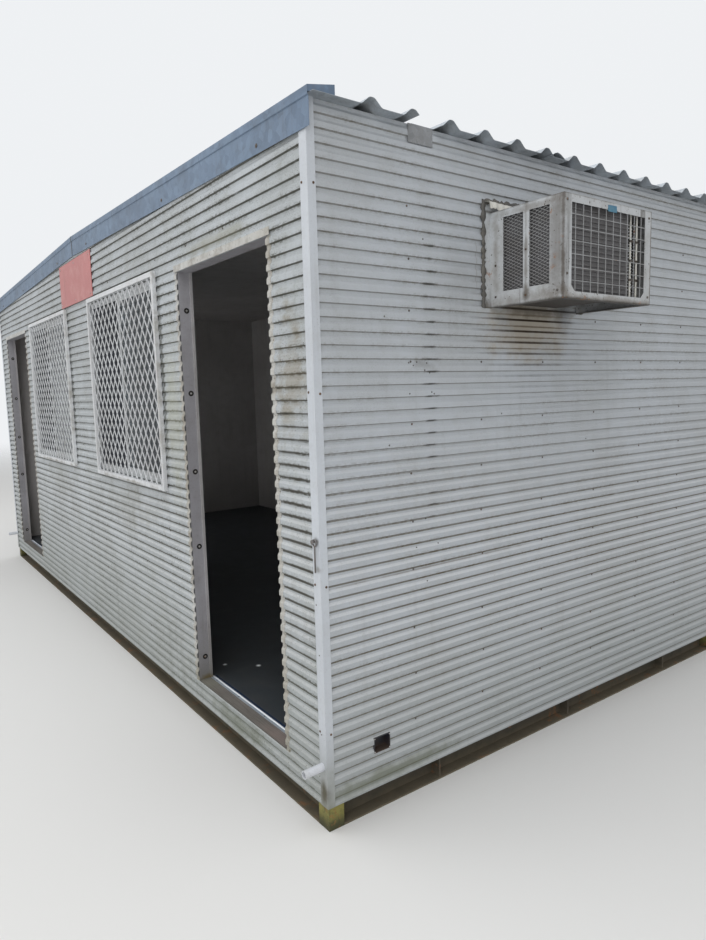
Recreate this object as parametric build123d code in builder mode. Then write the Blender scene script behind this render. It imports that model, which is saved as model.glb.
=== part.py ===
from build123d import *
import math
import os

# Portable site cabin. Millimetres. +Z is up, the long front wall faces -Y and the
# end wall with the air conditioner faces +X. The origin is on the ground under
# the middle of the cabin.

os.makedirs("parts", exist_ok=True)

# Overall body, measured over the corner covers
body_length = 6000.0
body_width = 3000.0
wall_thickness = 80.0
wall_top = 2695.0
ridge_rise = 80.0
roof_overhang = 50.0
fascia_overhang = 30.0

# Chassis and floor
rail_height = 186.0
rail_flange = 60.0
rail_web = 6.0
rail_flange_thickness = 8.0
cross_member_count = 7
cross_member_width = 50.0
deck_thickness = 21.0
vinyl_thickness = 3.0
stiffener_spacing = 900.0
stiffener_thickness = 8.0

# Ribbed wall cladding
cladding_bottom = 100.0
rib_pitch = 49.3
rib_depth = 7.0
rib_ledge = 11.0
rib_undercut = 4.0
valley_height = 22.0
skin_thickness = 1.0
first_rib_phase = 0.25

# Corner posts, their covers and their feet
post_wall = 4.0
cover_thickness = 1.2
cover_front_leg = 48.0
cover_end_leg = 34.0
foot_height = 100.0

# Doorways
door_width = 890.0
door_height = 2080.0
door_centre_from_middle = 2244.0
jamb_thickness = 20.0
surround_width = 30.0
surround_seat = 0.2
threshold_width = 22.0
threshold_thickness = 3.0

# Windows behind diamond grilles
window_width = 1190.0
window_height = 1085.0
window_sill = 1217.0
window_centre_from_middle = 908.0
window_frame_width = 22.0
window_frame_depth = 50.0
window_stand_out = 6.0
sash_width = 25.0
sash_depth = 14.0
sash_gap = 3.0
meeting_shift = 28.0
glass_thickness = 4.0
grille_frame_width = 25.0
grille_frame_depth = 20.0
grille_side_overlap = 18.0
grille_end_overlap = 34.0
grille_cell_width = 82.0
grille_cell_height = 103.5
grille_shift = 12.0
grille_drop = 16.0
grille_bar = 4.5
grille_bar_depth = 5.0

# Roof
ceiling_height = 2390.0
ceiling_thickness = 40.0
purlin_width = 50.0
purlin_count = 7
sheet_thickness = 1.2
roof_rib_pitch = 194.5
roof_rib_height = 30.0
roof_rib_top = 22.0
roof_rib_base = 92.0
roof_rib_bend = 22.0
first_roof_rib = 252.5
roof_strip_width = 476.0
roof_lap_gap = 2.0
roof_notch_width = 114.0
ridge_cap_width = 300.0
ridge_cap_thickness = 1.5

# Barge fascias
fascia_drop = 108.0
fascia_stand = 22.0
fascia_crown = 45.0
fascia_cap_width = 105.0
fascia_thickness = 1.2
fascia_gap = 4.0
fascia_crease = 30.0
fascia_step = 4.0
fascia_joint = 3.0

# Sign board
sign_width = 795.0
sign_height = 296.0
sign_bottom = 2350.0
sign_thickness = 4.0

# Air conditioner in its cage on the right end wall
cage_width = 598.0
cage_height = 393.0
cage_depth = 375.0
cage_bottom = 2027.0
cage_from_front = 912.0
cage_plate = 2.0
cage_stile = 47.0
cage_bottom_bar = 28.0
cage_top_bar = 31.0
cage_gusset = 22.0
cage_rim = 25.0
cage_side_slots = ((72.0, 177.0), (208.0, 307.0))
cage_slot_bottom = 63.0
cage_flange_side = 42.0
cage_flange_top = 46.0
cage_wire = 2.6
cage_mesh_pitch = 50.0
cage_rod_radius = 4.0
cage_rods_from_front = (483.0, 529.0)
cage_rod_setback = 26.0
unit_margin = 24.0
unit_far_margin = 134.0
unit_inside_reach = 120.0
unit_seat = 0.3
sleeve_margin = 6.0

# Small fittings
spout_radius = 16.0
spout_bore = 13.0
spout_length = 85.0
spout_height = 262.0
spout_tilt = 2.0
spout_from_corner = 30.0
hook_height = 1146.0
hook_from_corner = 20.0
hook_wire = 6.0
hook_ring_radius = 12.0
hook_length = 112.0
hook_curl = 8.0
hook_clearance = 6.0
ring_play = 0.3
eye_pin_radius = 4.0
eye_head_radius = 9.0
eye_head_thickness = 3.0
inlet_width = 82.0
inlet_height = 65.0
inlet_bottom = 246.0
inlet_from_front = 230.0
inlet_wall = 3.0
inlet_depth = 30.0
patch_width = 126.0
patch_height = 69.0
patch_from_front = 460.0
patch_thickness = 1.5
patch_drop = 0.3

# Values that follow from the sizes above
half_length = body_length / 2
half_width = body_width / 2
crest_inset = cover_thickness
core_inset = cover_thickness + rib_depth + skin_thickness
core_x = half_length - core_inset
core_y = half_width - core_inset
inner_x = half_length - wall_thickness
inner_y = half_width - wall_thickness
deck_top = rail_height + deck_thickness
floor_top = deck_top + vinyl_thickness
door_head = floor_top + door_height
window_top = window_sill + window_height
ceiling_bottom = floor_top + ceiling_height
ceiling_top = ceiling_bottom + ceiling_thickness
cut_margin = 50.0


def roof_underside(x):
    """Height of the underside of the roof pans at a distance along the cabin."""
    return wall_top + ridge_rise * (1 - abs(x) / half_length)


def block(x, y, z, mode=Mode.ADD):
    """A straight block between two limits on each axis."""
    with BuildSketch(Plane.XY.offset(z[0])) as outline:
        with Locations(((x[0] + x[1]) / 2, (y[0] + y[1]) / 2)):
            Rectangle(x[1] - x[0], y[1] - y[0])
    extrude(outline.sketch, amount=z[1] - z[0], mode=mode)


def gable_panel(x, y, z_low):
    """An upright panel along X whose top follows the underside of the roof."""
    top = [(x[1], roof_underside(x[1])), (x[0], roof_underside(x[0]))]
    if x[0] < 0 < x[1]:
        top.insert(1, (0, roof_underside(0)))
    with BuildSketch(Plane.XZ.offset(-y[0])) as outline:
        with BuildLine():
            Polyline((x[0], z_low), (x[1], z_low), *top, close=True)
        make_face()
    extrude(outline.sketch, amount=-(y[1] - y[0]))


def rib_line(z_low, z_high, valley, crest):
    """Points of the ribbed profile, from the bottom edge to the top edge."""
    points = [(crest, z_low)]
    step = 0
    while True:
        ledge = z_low + (step + first_rib_phase) * rib_pitch
        undercut = ledge + valley_height
        run = [
            (crest, ledge - rib_ledge / 2),
            (valley, ledge + rib_ledge / 2),
            (valley, undercut - rib_undercut / 2),
            (crest, undercut + rib_undercut / 2),
        ]
        points += [point for point in run if point[1] < z_high - rib_undercut]
        if run[-1][1] >= z_high - rib_undercut:
            break
        step += 1
    points.append((points[-1][0], z_high))
    return points


def ribbed_outline(face, side, z_low, z_high):
    """Closed outline of a ribbed skin whose crests lie on a face, and whose back
    lies towards the middle of the cabin."""
    crest = side * (face - crest_inset)
    valley = crest - side * rib_depth
    outer = rib_line(z_low, z_high, valley, crest)
    inner = [(across - side * skin_thickness, z) for across, z in outer]
    Polyline(*outer, *reversed(inner), close=True)


def cut_above_roof():
    """Trims what stands above the underside of the roof pans."""
    reach = half_length + cut_margin
    with BuildSketch(Plane.XZ.offset(-half_width - cut_margin)) as outline:
        with BuildLine():
            Polyline(
                (-reach, roof_underside(reach)),
                (0, roof_underside(0)),
                (reach, roof_underside(reach)),
                (reach, wall_top + 2 * ridge_rise + cut_margin),
                (-reach, wall_top + 2 * ridge_rise + cut_margin),
                close=True,
            )
        make_face()
    extrude(outline.sketch, amount=body_width + 2 * cut_margin, mode=Mode.SUBTRACT)


def finish(piece, name):
    """Labels a piece and writes its STEP file."""
    piece.part.label = name
    export_step(piece.part, "parts/" + name + ".step")


sides = (-1, 1)
side_names = {-1: "left", 1: "right"}

# Chassis rails: channels on edge with their flanges outward
with BuildPart() as side_rails:
    for side in sides:
        with BuildSketch(Plane.YZ.offset(-inner_x)) as section:
            with BuildLine():
                y_out = side * core_y
                y_web = side * (core_y - rail_flange)
                y_face = y_web + side * rail_web
                Polyline(
                    (y_out, 0),
                    (y_web, 0),
                    (y_web, rail_height),
                    (y_out, rail_height),
                    (y_out, rail_height - rail_flange_thickness),
                    (y_face, rail_height - rail_flange_thickness),
                    (y_face, rail_flange_thickness),
                    (y_out, rail_flange_thickness),
                    close=True,
                )
            make_face()
        extrude(section.sketch, amount=2 * inner_x)
finish(side_rails, "chassis_side_rails")

with BuildPart() as end_rails:
    for side in sides:
        with BuildSketch(Plane.XZ.offset(inner_y)) as section:
            with BuildLine():
                x_out = side * core_x
                x_web = side * (core_x - rail_flange)
                x_face = x_web + side * rail_web
                Polyline(
                    (x_out, 0),
                    (x_web, 0),
                    (x_web, rail_height),
                    (x_out, rail_height),
                    (x_out, rail_height - rail_flange_thickness),
                    (x_face, rail_height - rail_flange_thickness),
                    (x_face, rail_flange_thickness),
                    (x_out, rail_flange_thickness),
                    close=True,
                )
            make_face()
        extrude(section.sketch, amount=-2 * inner_y)
        stiffener_count = int(2 * inner_y // stiffener_spacing)
        for number in range(stiffener_count):
            y = (number - (stiffener_count - 1) / 2) * stiffener_spacing
            block(
                sorted((x_face, x_out - side * stiffener_thickness)),
                (y - stiffener_thickness / 2, y + stiffener_thickness / 2),
                (rail_flange_thickness, rail_height - rail_flange_thickness),
            )
finish(end_rails, "chassis_end_rails")

# Cross members between the long rails; the middle one carries the origin
member_reach = core_y - rail_flange
end_member_reach = core_x - rail_flange
with BuildPart() as cross_members:
    member_spacing = 2 * end_member_reach / (cross_member_count + 1)
    for number in range(cross_member_count):
        x = (number - (cross_member_count - 1) / 2) * member_spacing
        block(
            (x - cross_member_width / 2, x + cross_member_width / 2),
            (-member_reach, member_reach),
            (0, rail_height),
        )
finish(cross_members, "chassis_cross_members")

# Corner posts: square tubes, each on a painted foot
with BuildPart() as feet:
    for side in sides:
        for end in sides:
            block(
                sorted((end * inner_x, end * core_x)),
                sorted((side * inner_y, side * core_y)),
                (0, foot_height),
            )
finish(feet, "corner_feet")

with BuildPart() as posts:
    for side in sides:
        for end in sides:
            x = sorted((end * inner_x, end * core_x))
            y = sorted((side * inner_y, side * core_y))
            block(x, y, (foot_height, wall_top))
            block(
                (x[0] + post_wall, x[1] - post_wall),
                (y[0] + post_wall, y[1] - post_wall),
                (foot_height, wall_top),
                mode=Mode.SUBTRACT,
            )
finish(posts, "corner_posts")

# Angle covers over the ends of the cladding at the corners
with BuildPart() as covers:
    for side in sides:
        for end in sides:
            x_out, y_out = end * half_length, side * half_width
            x_in, y_in = x_out - end * cover_thickness, y_out - side * cover_thickness
            x_leg, y_leg = x_out - end * cover_front_leg, y_out - side * cover_end_leg
            with BuildSketch(Plane.XY.offset(cladding_bottom)) as section:
                with BuildLine():
                    Polyline(
                        (x_out, y_out),
                        (x_leg, y_out),
                        (x_leg, y_in),
                        (x_in, y_in),
                        (x_in, y_leg),
                        (x_out, y_leg),
                        close=True,
                    )
                make_face()
            extrude(section.sketch, amount=wall_top - cladding_bottom)
finish(covers, "corner_covers")

# Floor: a plywood deck notched round the posts and the doorway planks
door_low = door_centre_from_middle - door_width / 2
door_high = door_centre_from_middle + door_width / 2
with BuildPart() as deck:
    block((-core_x, core_x), (-core_y, core_y), (rail_height, deck_top))
    for side in sides:
        for end in sides:
            block(
                sorted((end * inner_x, end * (core_x + cut_margin))),
                sorted((side * inner_y, side * (core_y + cut_margin))),
                (rail_height, deck_top),
                mode=Mode.SUBTRACT,
            )
    for end in sides:
        block(
            sorted((end * (door_low - jamb_thickness), end * (door_high + jamb_thickness))),
            (-core_y - cut_margin, -inner_y),
            (rail_height, deck_top),
            mode=Mode.SUBTRACT,
        )
finish(deck, "floor_deck")

with BuildPart() as vinyl:
    block((-inner_x, inner_x), (-inner_y, inner_y), (deck_top, floor_top))
finish(vinyl, "floor_vinyl")

# Long front wall, split beside and over the two doorways
wall_y = (-core_y, -inner_y)
opening_low = door_low - jamb_thickness
opening_high = door_high + jamb_thickness
with BuildPart() as piers:
    for end in sides:
        gable_panel(sorted((end * opening_high, end * inner_x)), wall_y, deck_top)
finish(piers, "front_wall_end_piers")

with BuildPart() as heads:
    for end in sides:
        over_door = sorted((end * opening_low, end * opening_high))
        gable_panel(over_door, wall_y, door_head + jamb_thickness)
finish(heads, "front_wall_over_doors")

for end in sides:
    with BuildPart() as bay:
        gable_panel(sorted((0, end * opening_low)), wall_y, deck_top)
        window_x = end * window_centre_from_middle
        block(
            (window_x - window_width / 2, window_x + window_width / 2),
            (-core_y - cut_margin, -inner_y + cut_margin),
            (window_sill, window_top),
            mode=Mode.SUBTRACT,
        )
    finish(bay, "front_wall_" + side_names[end] + "_bay")

with BuildPart() as back:
    gable_panel((-inner_x, inner_x), (inner_y, core_y), deck_top)
finish(back, "back_wall")

# End walls; the right one is pierced for the air conditioner
cage_y = (-half_width + cage_from_front, -half_width + cage_from_front + cage_width)
cage_z = (cage_bottom, cage_bottom + cage_height)
unit_y = (cage_y[0] + unit_margin, cage_y[1] - unit_far_margin)
unit_z = (cage_z[0] + unit_margin, cage_z[1] - unit_margin)
inlet_y = (-half_width + inlet_from_front, -half_width + inlet_from_front + inlet_width)
inlet_z = (inlet_bottom, inlet_bottom + inlet_height)
for end in sides:
    with BuildPart() as end_wall:
        block(sorted((end * inner_x, end * core_x)), (-inner_y, inner_y), (deck_top, wall_top))
        if end > 0:
            block(
                (inner_x - cut_margin, core_x + cut_margin),
                (unit_y[0] - sleeve_margin, unit_y[1] + sleeve_margin),
                (unit_z[0] - unit_seat, unit_z[1] + sleeve_margin),
                mode=Mode.SUBTRACT,
            )
            block(
                (core_x - inlet_depth, core_x + cut_margin),
                inlet_y,
                inlet_z,
                mode=Mode.SUBTRACT,
            )
    finish(end_wall, side_names[end] + "_end_wall")

# Ribbed cladding, cut round the doorways and windows
for side in sides:
    with BuildPart() as cladding:
        with BuildSketch(Plane.YZ.offset(-half_length + cover_thickness)) as section:
            with BuildLine():
                ribbed_outline(half_width, side, cladding_bottom, wall_top + ridge_rise)
            make_face()
        extrude(section.sketch, amount=body_length - 2 * cover_thickness)
        cut_above_roof()
        if side < 0:
            for end in sides:
                block(
                    sorted((end * door_low, end * door_high)),
                    (-half_width - cut_margin, -core_y + cut_margin),
                    (floor_top, door_head),
                    mode=Mode.SUBTRACT,
                )
                window_x = end * window_centre_from_middle
                block(
                    (window_x - window_width / 2, window_x + window_width / 2),
                    (-half_width - cut_margin, -core_y + cut_margin),
                    (window_sill, window_top),
                    mode=Mode.SUBTRACT,
                )
    finish(cladding, "front_cladding" if side < 0 else "back_cladding")

end_skin_reach = core_y
for end in sides:
    with BuildPart() as cladding:
        with BuildSketch(Plane.XZ.offset(end_skin_reach)) as section:
            with BuildLine():
                ribbed_outline(half_length, end, cladding_bottom, wall_top)
            make_face()
        extrude(section.sketch, amount=-2 * end_skin_reach)
        if end > 0:
            block(
                (core_x - cut_margin, half_length + cut_margin),
                (unit_y[0] - sleeve_margin, unit_y[1] + sleeve_margin),
                (unit_z[0] - unit_seat, unit_z[1] + sleeve_margin),
                mode=Mode.SUBTRACT,
            )
            block(
                (core_x - cut_margin, half_length + cut_margin),
                inlet_y,
                inlet_z,
                mode=Mode.SUBTRACT,
            )
    finish(cladding, side_names[end] + "_end_cladding")

# Ceiling and the purlins above it
with BuildPart() as ceiling:
    block((-inner_x, inner_x), (-inner_y, inner_y), (ceiling_bottom, ceiling_top))
finish(ceiling, "ceiling_panel")

with BuildPart() as purlins:
    purlin_spacing = 2 * (inner_x - purlin_width) / (purlin_count - 1)
    for number in range(purlin_count):
        x = (number - (purlin_count - 1) / 2) * purlin_spacing
        gable_panel((x - purlin_width / 2, x + purlin_width / 2), (-inner_y, inner_y), ceiling_top)
finish(purlins, "roof_purlins")


def roof_ribs(y_low, y_high, z):
    """Top line of a roof sheet between two places across the cabin."""
    points = [(y_low, z)]
    rib = -half_width + first_roof_rib
    while rib < half_width:
        foot, shoulder = roof_rib_base / 2, roof_rib_top / 2
        run = [
            (rib - foot, z),
            (rib - shoulder, z + roof_rib_height),
            (rib + shoulder, z + roof_rib_height),
            (rib + foot, z),
        ]
        if run[0][0] > y_low and run[-1][0] < y_high:
            points += run
        rib += roof_rib_pitch
    points.append((y_high, z))
    return points


def roof_sheet(y_low, y_high, end):
    """A ribbed sheet from the ridge down to one end of the cabin."""
    ridge = roof_underside(0)
    with BuildSketch(Plane.YZ) as section:
        with BuildLine():
            lower = FilletPolyline(*roof_ribs(y_low, y_high, ridge), radius=roof_rib_bend)
            upper = FilletPolyline(*roof_ribs(y_low, y_high, ridge + sheet_thickness), radius=roof_rib_bend)
            Line(lower @ 0, upper @ 0)
            Line(lower @ 1, upper @ 1)
        make_face()
    fall = Vector(end * half_length, 0, -ridge_rise)
    reach = fall.length * (half_length + roof_overhang) / half_length
    extrude(section.sketch, amount=reach, dir=fall.normalized())


# Roof sheets run along the cabin, ribs up
strip_edge = -half_width + roof_strip_width
sheet_edge = strip_edge + roof_lap_gap
with BuildPart() as strip:
    roof_sheet(-half_width, strip_edge + cut_margin, 1)
    block(
        (-cut_margin, half_length + roof_overhang + cut_margin),
        (strip_edge, strip_edge + 2 * cut_margin),
        (wall_top - cut_margin, roof_underside(0) + cut_margin),
        mode=Mode.SUBTRACT,
    )
finish(strip, "roof_front_strip_right")
with BuildPart() as right_sheets:
    roof_sheet(sheet_edge, half_width, 1)
    block(
        (half_length, half_length + roof_overhang + cut_margin),
        (sheet_edge - cut_margin, sheet_edge + roof_notch_width),
        (wall_top - cut_margin, wall_top + cut_margin),
        mode=Mode.SUBTRACT,
    )
finish(right_sheets, "roof_sheets_right")
with BuildPart() as left_sheets:
    roof_sheet(-half_width, half_width, -1)
finish(left_sheets, "roof_sheets_left")

# Ridge capping, laid over the ribs
rib_crown = sheet_thickness + roof_rib_height
with BuildPart() as cap:
    half_cap = ridge_cap_width / 2
    with BuildSketch(Plane.XZ.offset(half_width - fascia_cap_width)) as section:
        with BuildLine():
            low = [(x, roof_underside(x) + rib_crown) for x in (-half_cap, 0, half_cap)]
            high = [(x, z + ridge_cap_thickness) for x, z in low]
            Polyline(*low, *reversed(high), close=True)
        make_face()
    extrude(section.sketch, amount=-(body_width - 2 * fascia_cap_width))
finish(cap, "ridge_cap")

# Barge fascias: folded sheet that stands on the roof edge and laps down the wall,
# in two halves with a joint at the ridge and a closing plate at each end
fascia_out = fascia_gap + fascia_thickness
fascia_outer = [
    (-fascia_cap_width, sheet_thickness),
    (-fascia_cap_width, fascia_crown),
    (fascia_out + fascia_step, fascia_stand),
    (fascia_out + fascia_step, fascia_stand - fascia_crease),
    (fascia_out, fascia_stand - fascia_crease - fascia_step),
    (fascia_out, -fascia_drop),
]
fascia_inner = [
    (-fascia_cap_width + fascia_thickness, sheet_thickness),
    (-fascia_cap_width + fascia_thickness, fascia_crown - fascia_thickness),
    (fascia_gap + fascia_step, fascia_stand - fascia_thickness),
    (fascia_gap + fascia_step, fascia_stand - fascia_crease),
    (fascia_gap, fascia_stand - fascia_crease - fascia_step),
    (fascia_gap, -fascia_drop),
]
fascia_end = [
    *fascia_inner[:3],
    (fascia_gap + fascia_step, sheet_thickness),
]


def fascia_sheet(side, end, x_start, length, outline):
    """A stretch of fascia along the fall of the roof, from its outline in
    distance outward from the wall face and height over the roof underside."""
    base = roof_underside(x_start)
    with BuildSketch(Plane.YZ.offset(x_start)) as section:
        with BuildLine():
            Polyline(*[(side * (half_width + out), base + up) for out, up in outline], close=True)
        make_face()
    fall = Vector(end * half_length, 0, -ridge_rise).normalized()
    extrude(section.sketch, amount=length / abs(fall.X), dir=fall)


for side in sides:
    with BuildPart() as fascia:
        for end in sides:
            run = half_length + fascia_overhang - fascia_joint / 2
            fascia_sheet(side, end, end * fascia_joint / 2, run, [*fascia_outer, *reversed(fascia_inner)])
            plate_start = end * (half_length + fascia_overhang - fascia_thickness)
            fascia_sheet(side, end, plate_start, fascia_thickness, fascia_end)
    finish(fascia, "front_fascia" if side < 0 else "back_fascia")


def diamond_grille(x_middle, y_back):
    """Crossed bars inside a frame, fused where they cross."""
    outer_width = window_width + 2 * grille_side_overlap
    outer_height = window_height + 2 * grille_end_overlap
    inner_width = outer_width - 2 * grille_frame_width
    inner_height = outer_height - 2 * grille_frame_width
    z_middle = window_sill + window_height / 2
    place = Plane.XZ.offset(-y_back)
    with BuildSketch(place) as frame:
        with Locations((x_middle, z_middle)):
            Rectangle(outer_width, outer_height)
            Rectangle(inner_width, inner_height, mode=Mode.SUBTRACT)
    extrude(frame.sketch, amount=grille_frame_depth)
    bar_angle = math.degrees(math.atan2(grille_cell_height, grille_cell_width))
    lean = inner_height * grille_cell_width / grille_cell_height
    bar_length = math.hypot(inner_height, lean) + grille_cell_height
    reach = math.ceil((inner_width + lean) / 2 / grille_cell_width)
    crossings = [
        (x_middle - grille_shift + step * grille_cell_width, z_middle - grille_drop)
        for step in range(-reach, reach + 1)
    ]
    with BuildSketch(place.offset((grille_frame_depth - grille_bar_depth) / 2)) as lattice:
        for angle in (bar_angle, -bar_angle):
            with Locations(*crossings):
                Rectangle(bar_length, grille_bar, rotation=angle)
        with Locations((x_middle, z_middle)):
            Rectangle(inner_width, inner_height, mode=Mode.INTERSECT)
    extrude(lattice.sketch, amount=grille_bar_depth)


# Windows: two sashes on two tracks inside a frame, their glass, and the grille
for end in sides:
    window_x = end * window_centre_from_middle
    meeting_x = window_x - meeting_shift
    frame_y = -core_y - window_stand_out
    frame_x = (window_x - window_width / 2, window_x + window_width / 2)
    sash_z = (window_sill + window_frame_width, window_top - window_frame_width)
    sash_runs = (
        (frame_x[0] + window_frame_width, meeting_x + sash_width / 2),
        (meeting_x - sash_width / 2, frame_x[1] - window_frame_width),
    )
    track_y = (frame_y + 2 * sash_gap + sash_depth, frame_y + sash_gap)
    with BuildPart() as frame:
        block(frame_x, (frame_y, frame_y + window_frame_depth), (window_sill, window_top))
        block(
            (sash_runs[0][0], sash_runs[1][1]),
            (frame_y - cut_margin, frame_y + window_frame_depth + cut_margin),
            sash_z,
            mode=Mode.SUBTRACT,
        )
        for run, y in zip(sash_runs, track_y):
            block(run, (y, y + sash_depth), sash_z)
            block(
                (run[0] + sash_width, run[1] - sash_width),
                (y, y + sash_depth),
                (sash_z[0] + sash_width, sash_z[1] - sash_width),
                mode=Mode.SUBTRACT,
            )
    finish(frame, "window_frame_" + side_names[end])

    with BuildPart() as glass:
        for run, y in zip(sash_runs, track_y):
            glass_y = y + (sash_depth - glass_thickness) / 2
            block(
                (run[0] + sash_width, run[1] - sash_width),
                (glass_y, glass_y + glass_thickness),
                (sash_z[0] + sash_width, sash_z[1] - sash_width),
            )
    finish(glass, "window_glass_" + side_names[end])

    with BuildPart() as grille:
        diamond_grille(window_x, -half_width + crest_inset)
    finish(grille, "security_grille_" + side_names[end])

# Doorway linings, planks and threshold strips
with BuildPart() as linings:
    for end in sides:
        x_range = sorted((end * opening_low, end * opening_high))
        block(x_range, wall_y, (rail_height, door_head + jamb_thickness))
        block(
            (x_range[0] + jamb_thickness, x_range[1] - jamb_thickness),
            (wall_y[0] - cut_margin, wall_y[1] + cut_margin),
            (rail_height - cut_margin, door_head),
            mode=Mode.SUBTRACT,
        )
finish(linings, "door_frames")

# Surrounds: ribbed strips lapped over the ends of the cladding, and a plain one above
surround_y = (-half_width - surround_seat, -half_width + crest_inset - surround_seat)
with BuildPart() as surrounds:
    for end in sides:
        for edge in (door_low - surround_width, door_high):
            start_x = min(end * edge, end * (edge + surround_width))
            with BuildSketch(Plane.YZ.offset(start_x)) as section:
                with BuildLine():
                    face = half_width + skin_thickness + surround_seat
                    ribbed_outline(face, -1, cladding_bottom, wall_top)
                make_face()
            extrude(section.sketch, amount=surround_width)
    for limits in ((cladding_bottom - cut_margin, floor_top), (door_head, wall_top + cut_margin)):
        block((-half_length, half_length), (-half_width - cut_margin, -core_y), limits, mode=Mode.SUBTRACT)
    for end in sides:
        outer = sorted((end * (door_low - surround_width), end * (door_high + surround_width)))
        block(outer, surround_y, (door_head, door_head + surround_width))
finish(surrounds, "door_surrounds")

with BuildPart() as planks:
    for end in sides:
        block(
            sorted((end * door_low, end * door_high)),
            (-core_y, -inner_y),
            (rail_height, floor_top),
        )
finish(planks, "door_sill_planks")

with BuildPart() as strips:
    for end in sides:
        block(
            sorted((end * door_low, end * door_high)),
            (-inner_y - threshold_width / 2, -inner_y + threshold_width / 2),
            (floor_top, floor_top + threshold_thickness),
        )
finish(strips, "threshold_strips")

# Blank sign board on the ribs under the fascia
with BuildPart() as sign:
    block(
        (-sign_width / 2, sign_width / 2),
        (-half_width + crest_inset - sign_thickness, -half_width + crest_inset),
        (sign_bottom, sign_bottom + sign_height),
    )
finish(sign, "sign_board")

# Air conditioner through the right end wall, and the cage round it
crest_x = half_length - crest_inset
cage_x = (crest_x, crest_x + cage_depth)
with BuildPart() as unit:
    block((inner_x - unit_inside_reach, cage_x[1] - unit_margin), unit_y, unit_z)
finish(unit, "ac_unit")

inner_cage_y = (cage_y[0] + cage_plate, cage_y[1] - cage_plate)
opening_y = (cage_y[0] + cage_stile, cage_y[1] - cage_stile)
opening_z = (cage_z[0] + cage_bottom_bar, cage_z[1] - cage_top_bar)
with BuildPart() as cage:
    block(cage_x, cage_y, cage_z)
    block(
        (cage_x[0] - cut_margin, cage_x[1] - cage_plate),
        inner_cage_y,
        (cage_z[0] + cage_plate, cage_z[1] - cage_plate),
        mode=Mode.SUBTRACT,
    )
    block(
        (cage_x[0] - cut_margin, cage_x[1] - cage_rim),
        (cage_y[0] + cage_rim, cage_y[1] - cage_rim),
        (cage_z[0] - cut_margin, cage_z[0] + cut_margin),
        mode=Mode.SUBTRACT,
    )
    with BuildSketch(Plane.YZ.offset(cage_x[1] - cage_rim)) as front_opening:
        with BuildLine():
            Polyline(
                (opening_y[0], opening_z[1]),
                (opening_y[1], opening_z[1]),
                (opening_y[1], opening_z[0] + cage_gusset),
                (opening_y[1] - cage_gusset, opening_z[0]),
                (opening_y[0] + cage_gusset, opening_z[0]),
                (opening_y[0], opening_z[0] + cage_gusset),
                close=True,
            )
        make_face()
    extrude(front_opening.sketch, amount=2 * cage_rim, mode=Mode.SUBTRACT)
    for slot in cage_side_slots:
        block(
            (cage_x[0] + slot[0], cage_x[0] + slot[1]),
            (cage_y[0] - cut_margin, cage_y[1] + cut_margin),
            (cage_z[0] + cage_slot_bottom, opening_z[1]),
            mode=Mode.SUBTRACT,
        )
    block(
        (cage_x[0], cage_x[0] + cage_plate),
        (cage_y[0] - cage_flange_side, cage_y[1] + cage_flange_side),
        (cage_z[0], cage_z[1] + cage_flange_top),
    )
    block(
        (cage_x[0] - cut_margin, cage_x[0] + cut_margin),
        inner_cage_y,
        (cage_z[0] - cut_margin, cage_z[1] - cage_plate),
        mode=Mode.SUBTRACT,
    )
finish(cage, "ac_cage_frame")

# Welded mesh behind the cage front, and two rods tied across behind it
with BuildPart() as mesh:
    mesh_x = (cage_x[1] - cage_plate - cage_wire, cage_x[1] - cage_plate)
    mesh_y = (opening_y[0] - cage_wire, opening_y[1] + cage_wire)
    mesh_z = (opening_z[0] - cage_wire, opening_z[1] + cage_wire)
    columns = int((opening_y[1] - opening_y[0]) // cage_mesh_pitch)
    rows = int((opening_z[1] - opening_z[0]) // cage_mesh_pitch)
    for number in range(columns):
        y = sum(opening_y) / 2 + (number - (columns - 1) / 2) * cage_mesh_pitch
        block(mesh_x, (y - cage_wire / 2, y + cage_wire / 2), mesh_z)
    for number in range(rows):
        z = sum(opening_z) / 2 + (number - (rows - 1) / 2) * cage_mesh_pitch
        block(mesh_x, mesh_y, (z - cage_wire / 2, z + cage_wire / 2))
finish(mesh, "ac_cage_mesh")

with BuildPart() as rods:
    for place in cage_rods_from_front:
        with BuildSketch(Plane.XY.offset(cage_z[0] + cage_plate)) as section:
            with Locations((cage_x[1] - cage_rod_setback, cage_y[0] + place)):
                Circle(cage_rod_radius)
        extrude(section.sketch, amount=cage_height - 2 * cage_plate)
finish(rods, "ac_cage_rods")

# Spouts that stand out of the corner posts near the ground
spout_reach = 3 * spout_radius
with BuildPart() as spouts:
    for side in sides:
        for end in sides:
            x = end * (half_length - spout_from_corner)
            tilt = Vector(0, side, 0).rotate(Axis.X, -side * spout_tilt)
            root = Plane(origin=(x, side * half_width, spout_height), z_dir=tilt)
            with BuildSketch(root) as section:
                Circle(spout_radius)
                Circle(spout_bore, mode=Mode.SUBTRACT)
            extrude(section.sketch, amount=spout_length)
            extrude(section.sketch, amount=-spout_radius)
            block(
                (x - spout_reach, x + spout_reach),
                sorted((side * half_width, side * (half_width - spout_reach))),
                (spout_height - spout_reach, spout_height + spout_reach),
                mode=Mode.SUBTRACT,
            )
finish(spouts, "corner_spouts")

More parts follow.
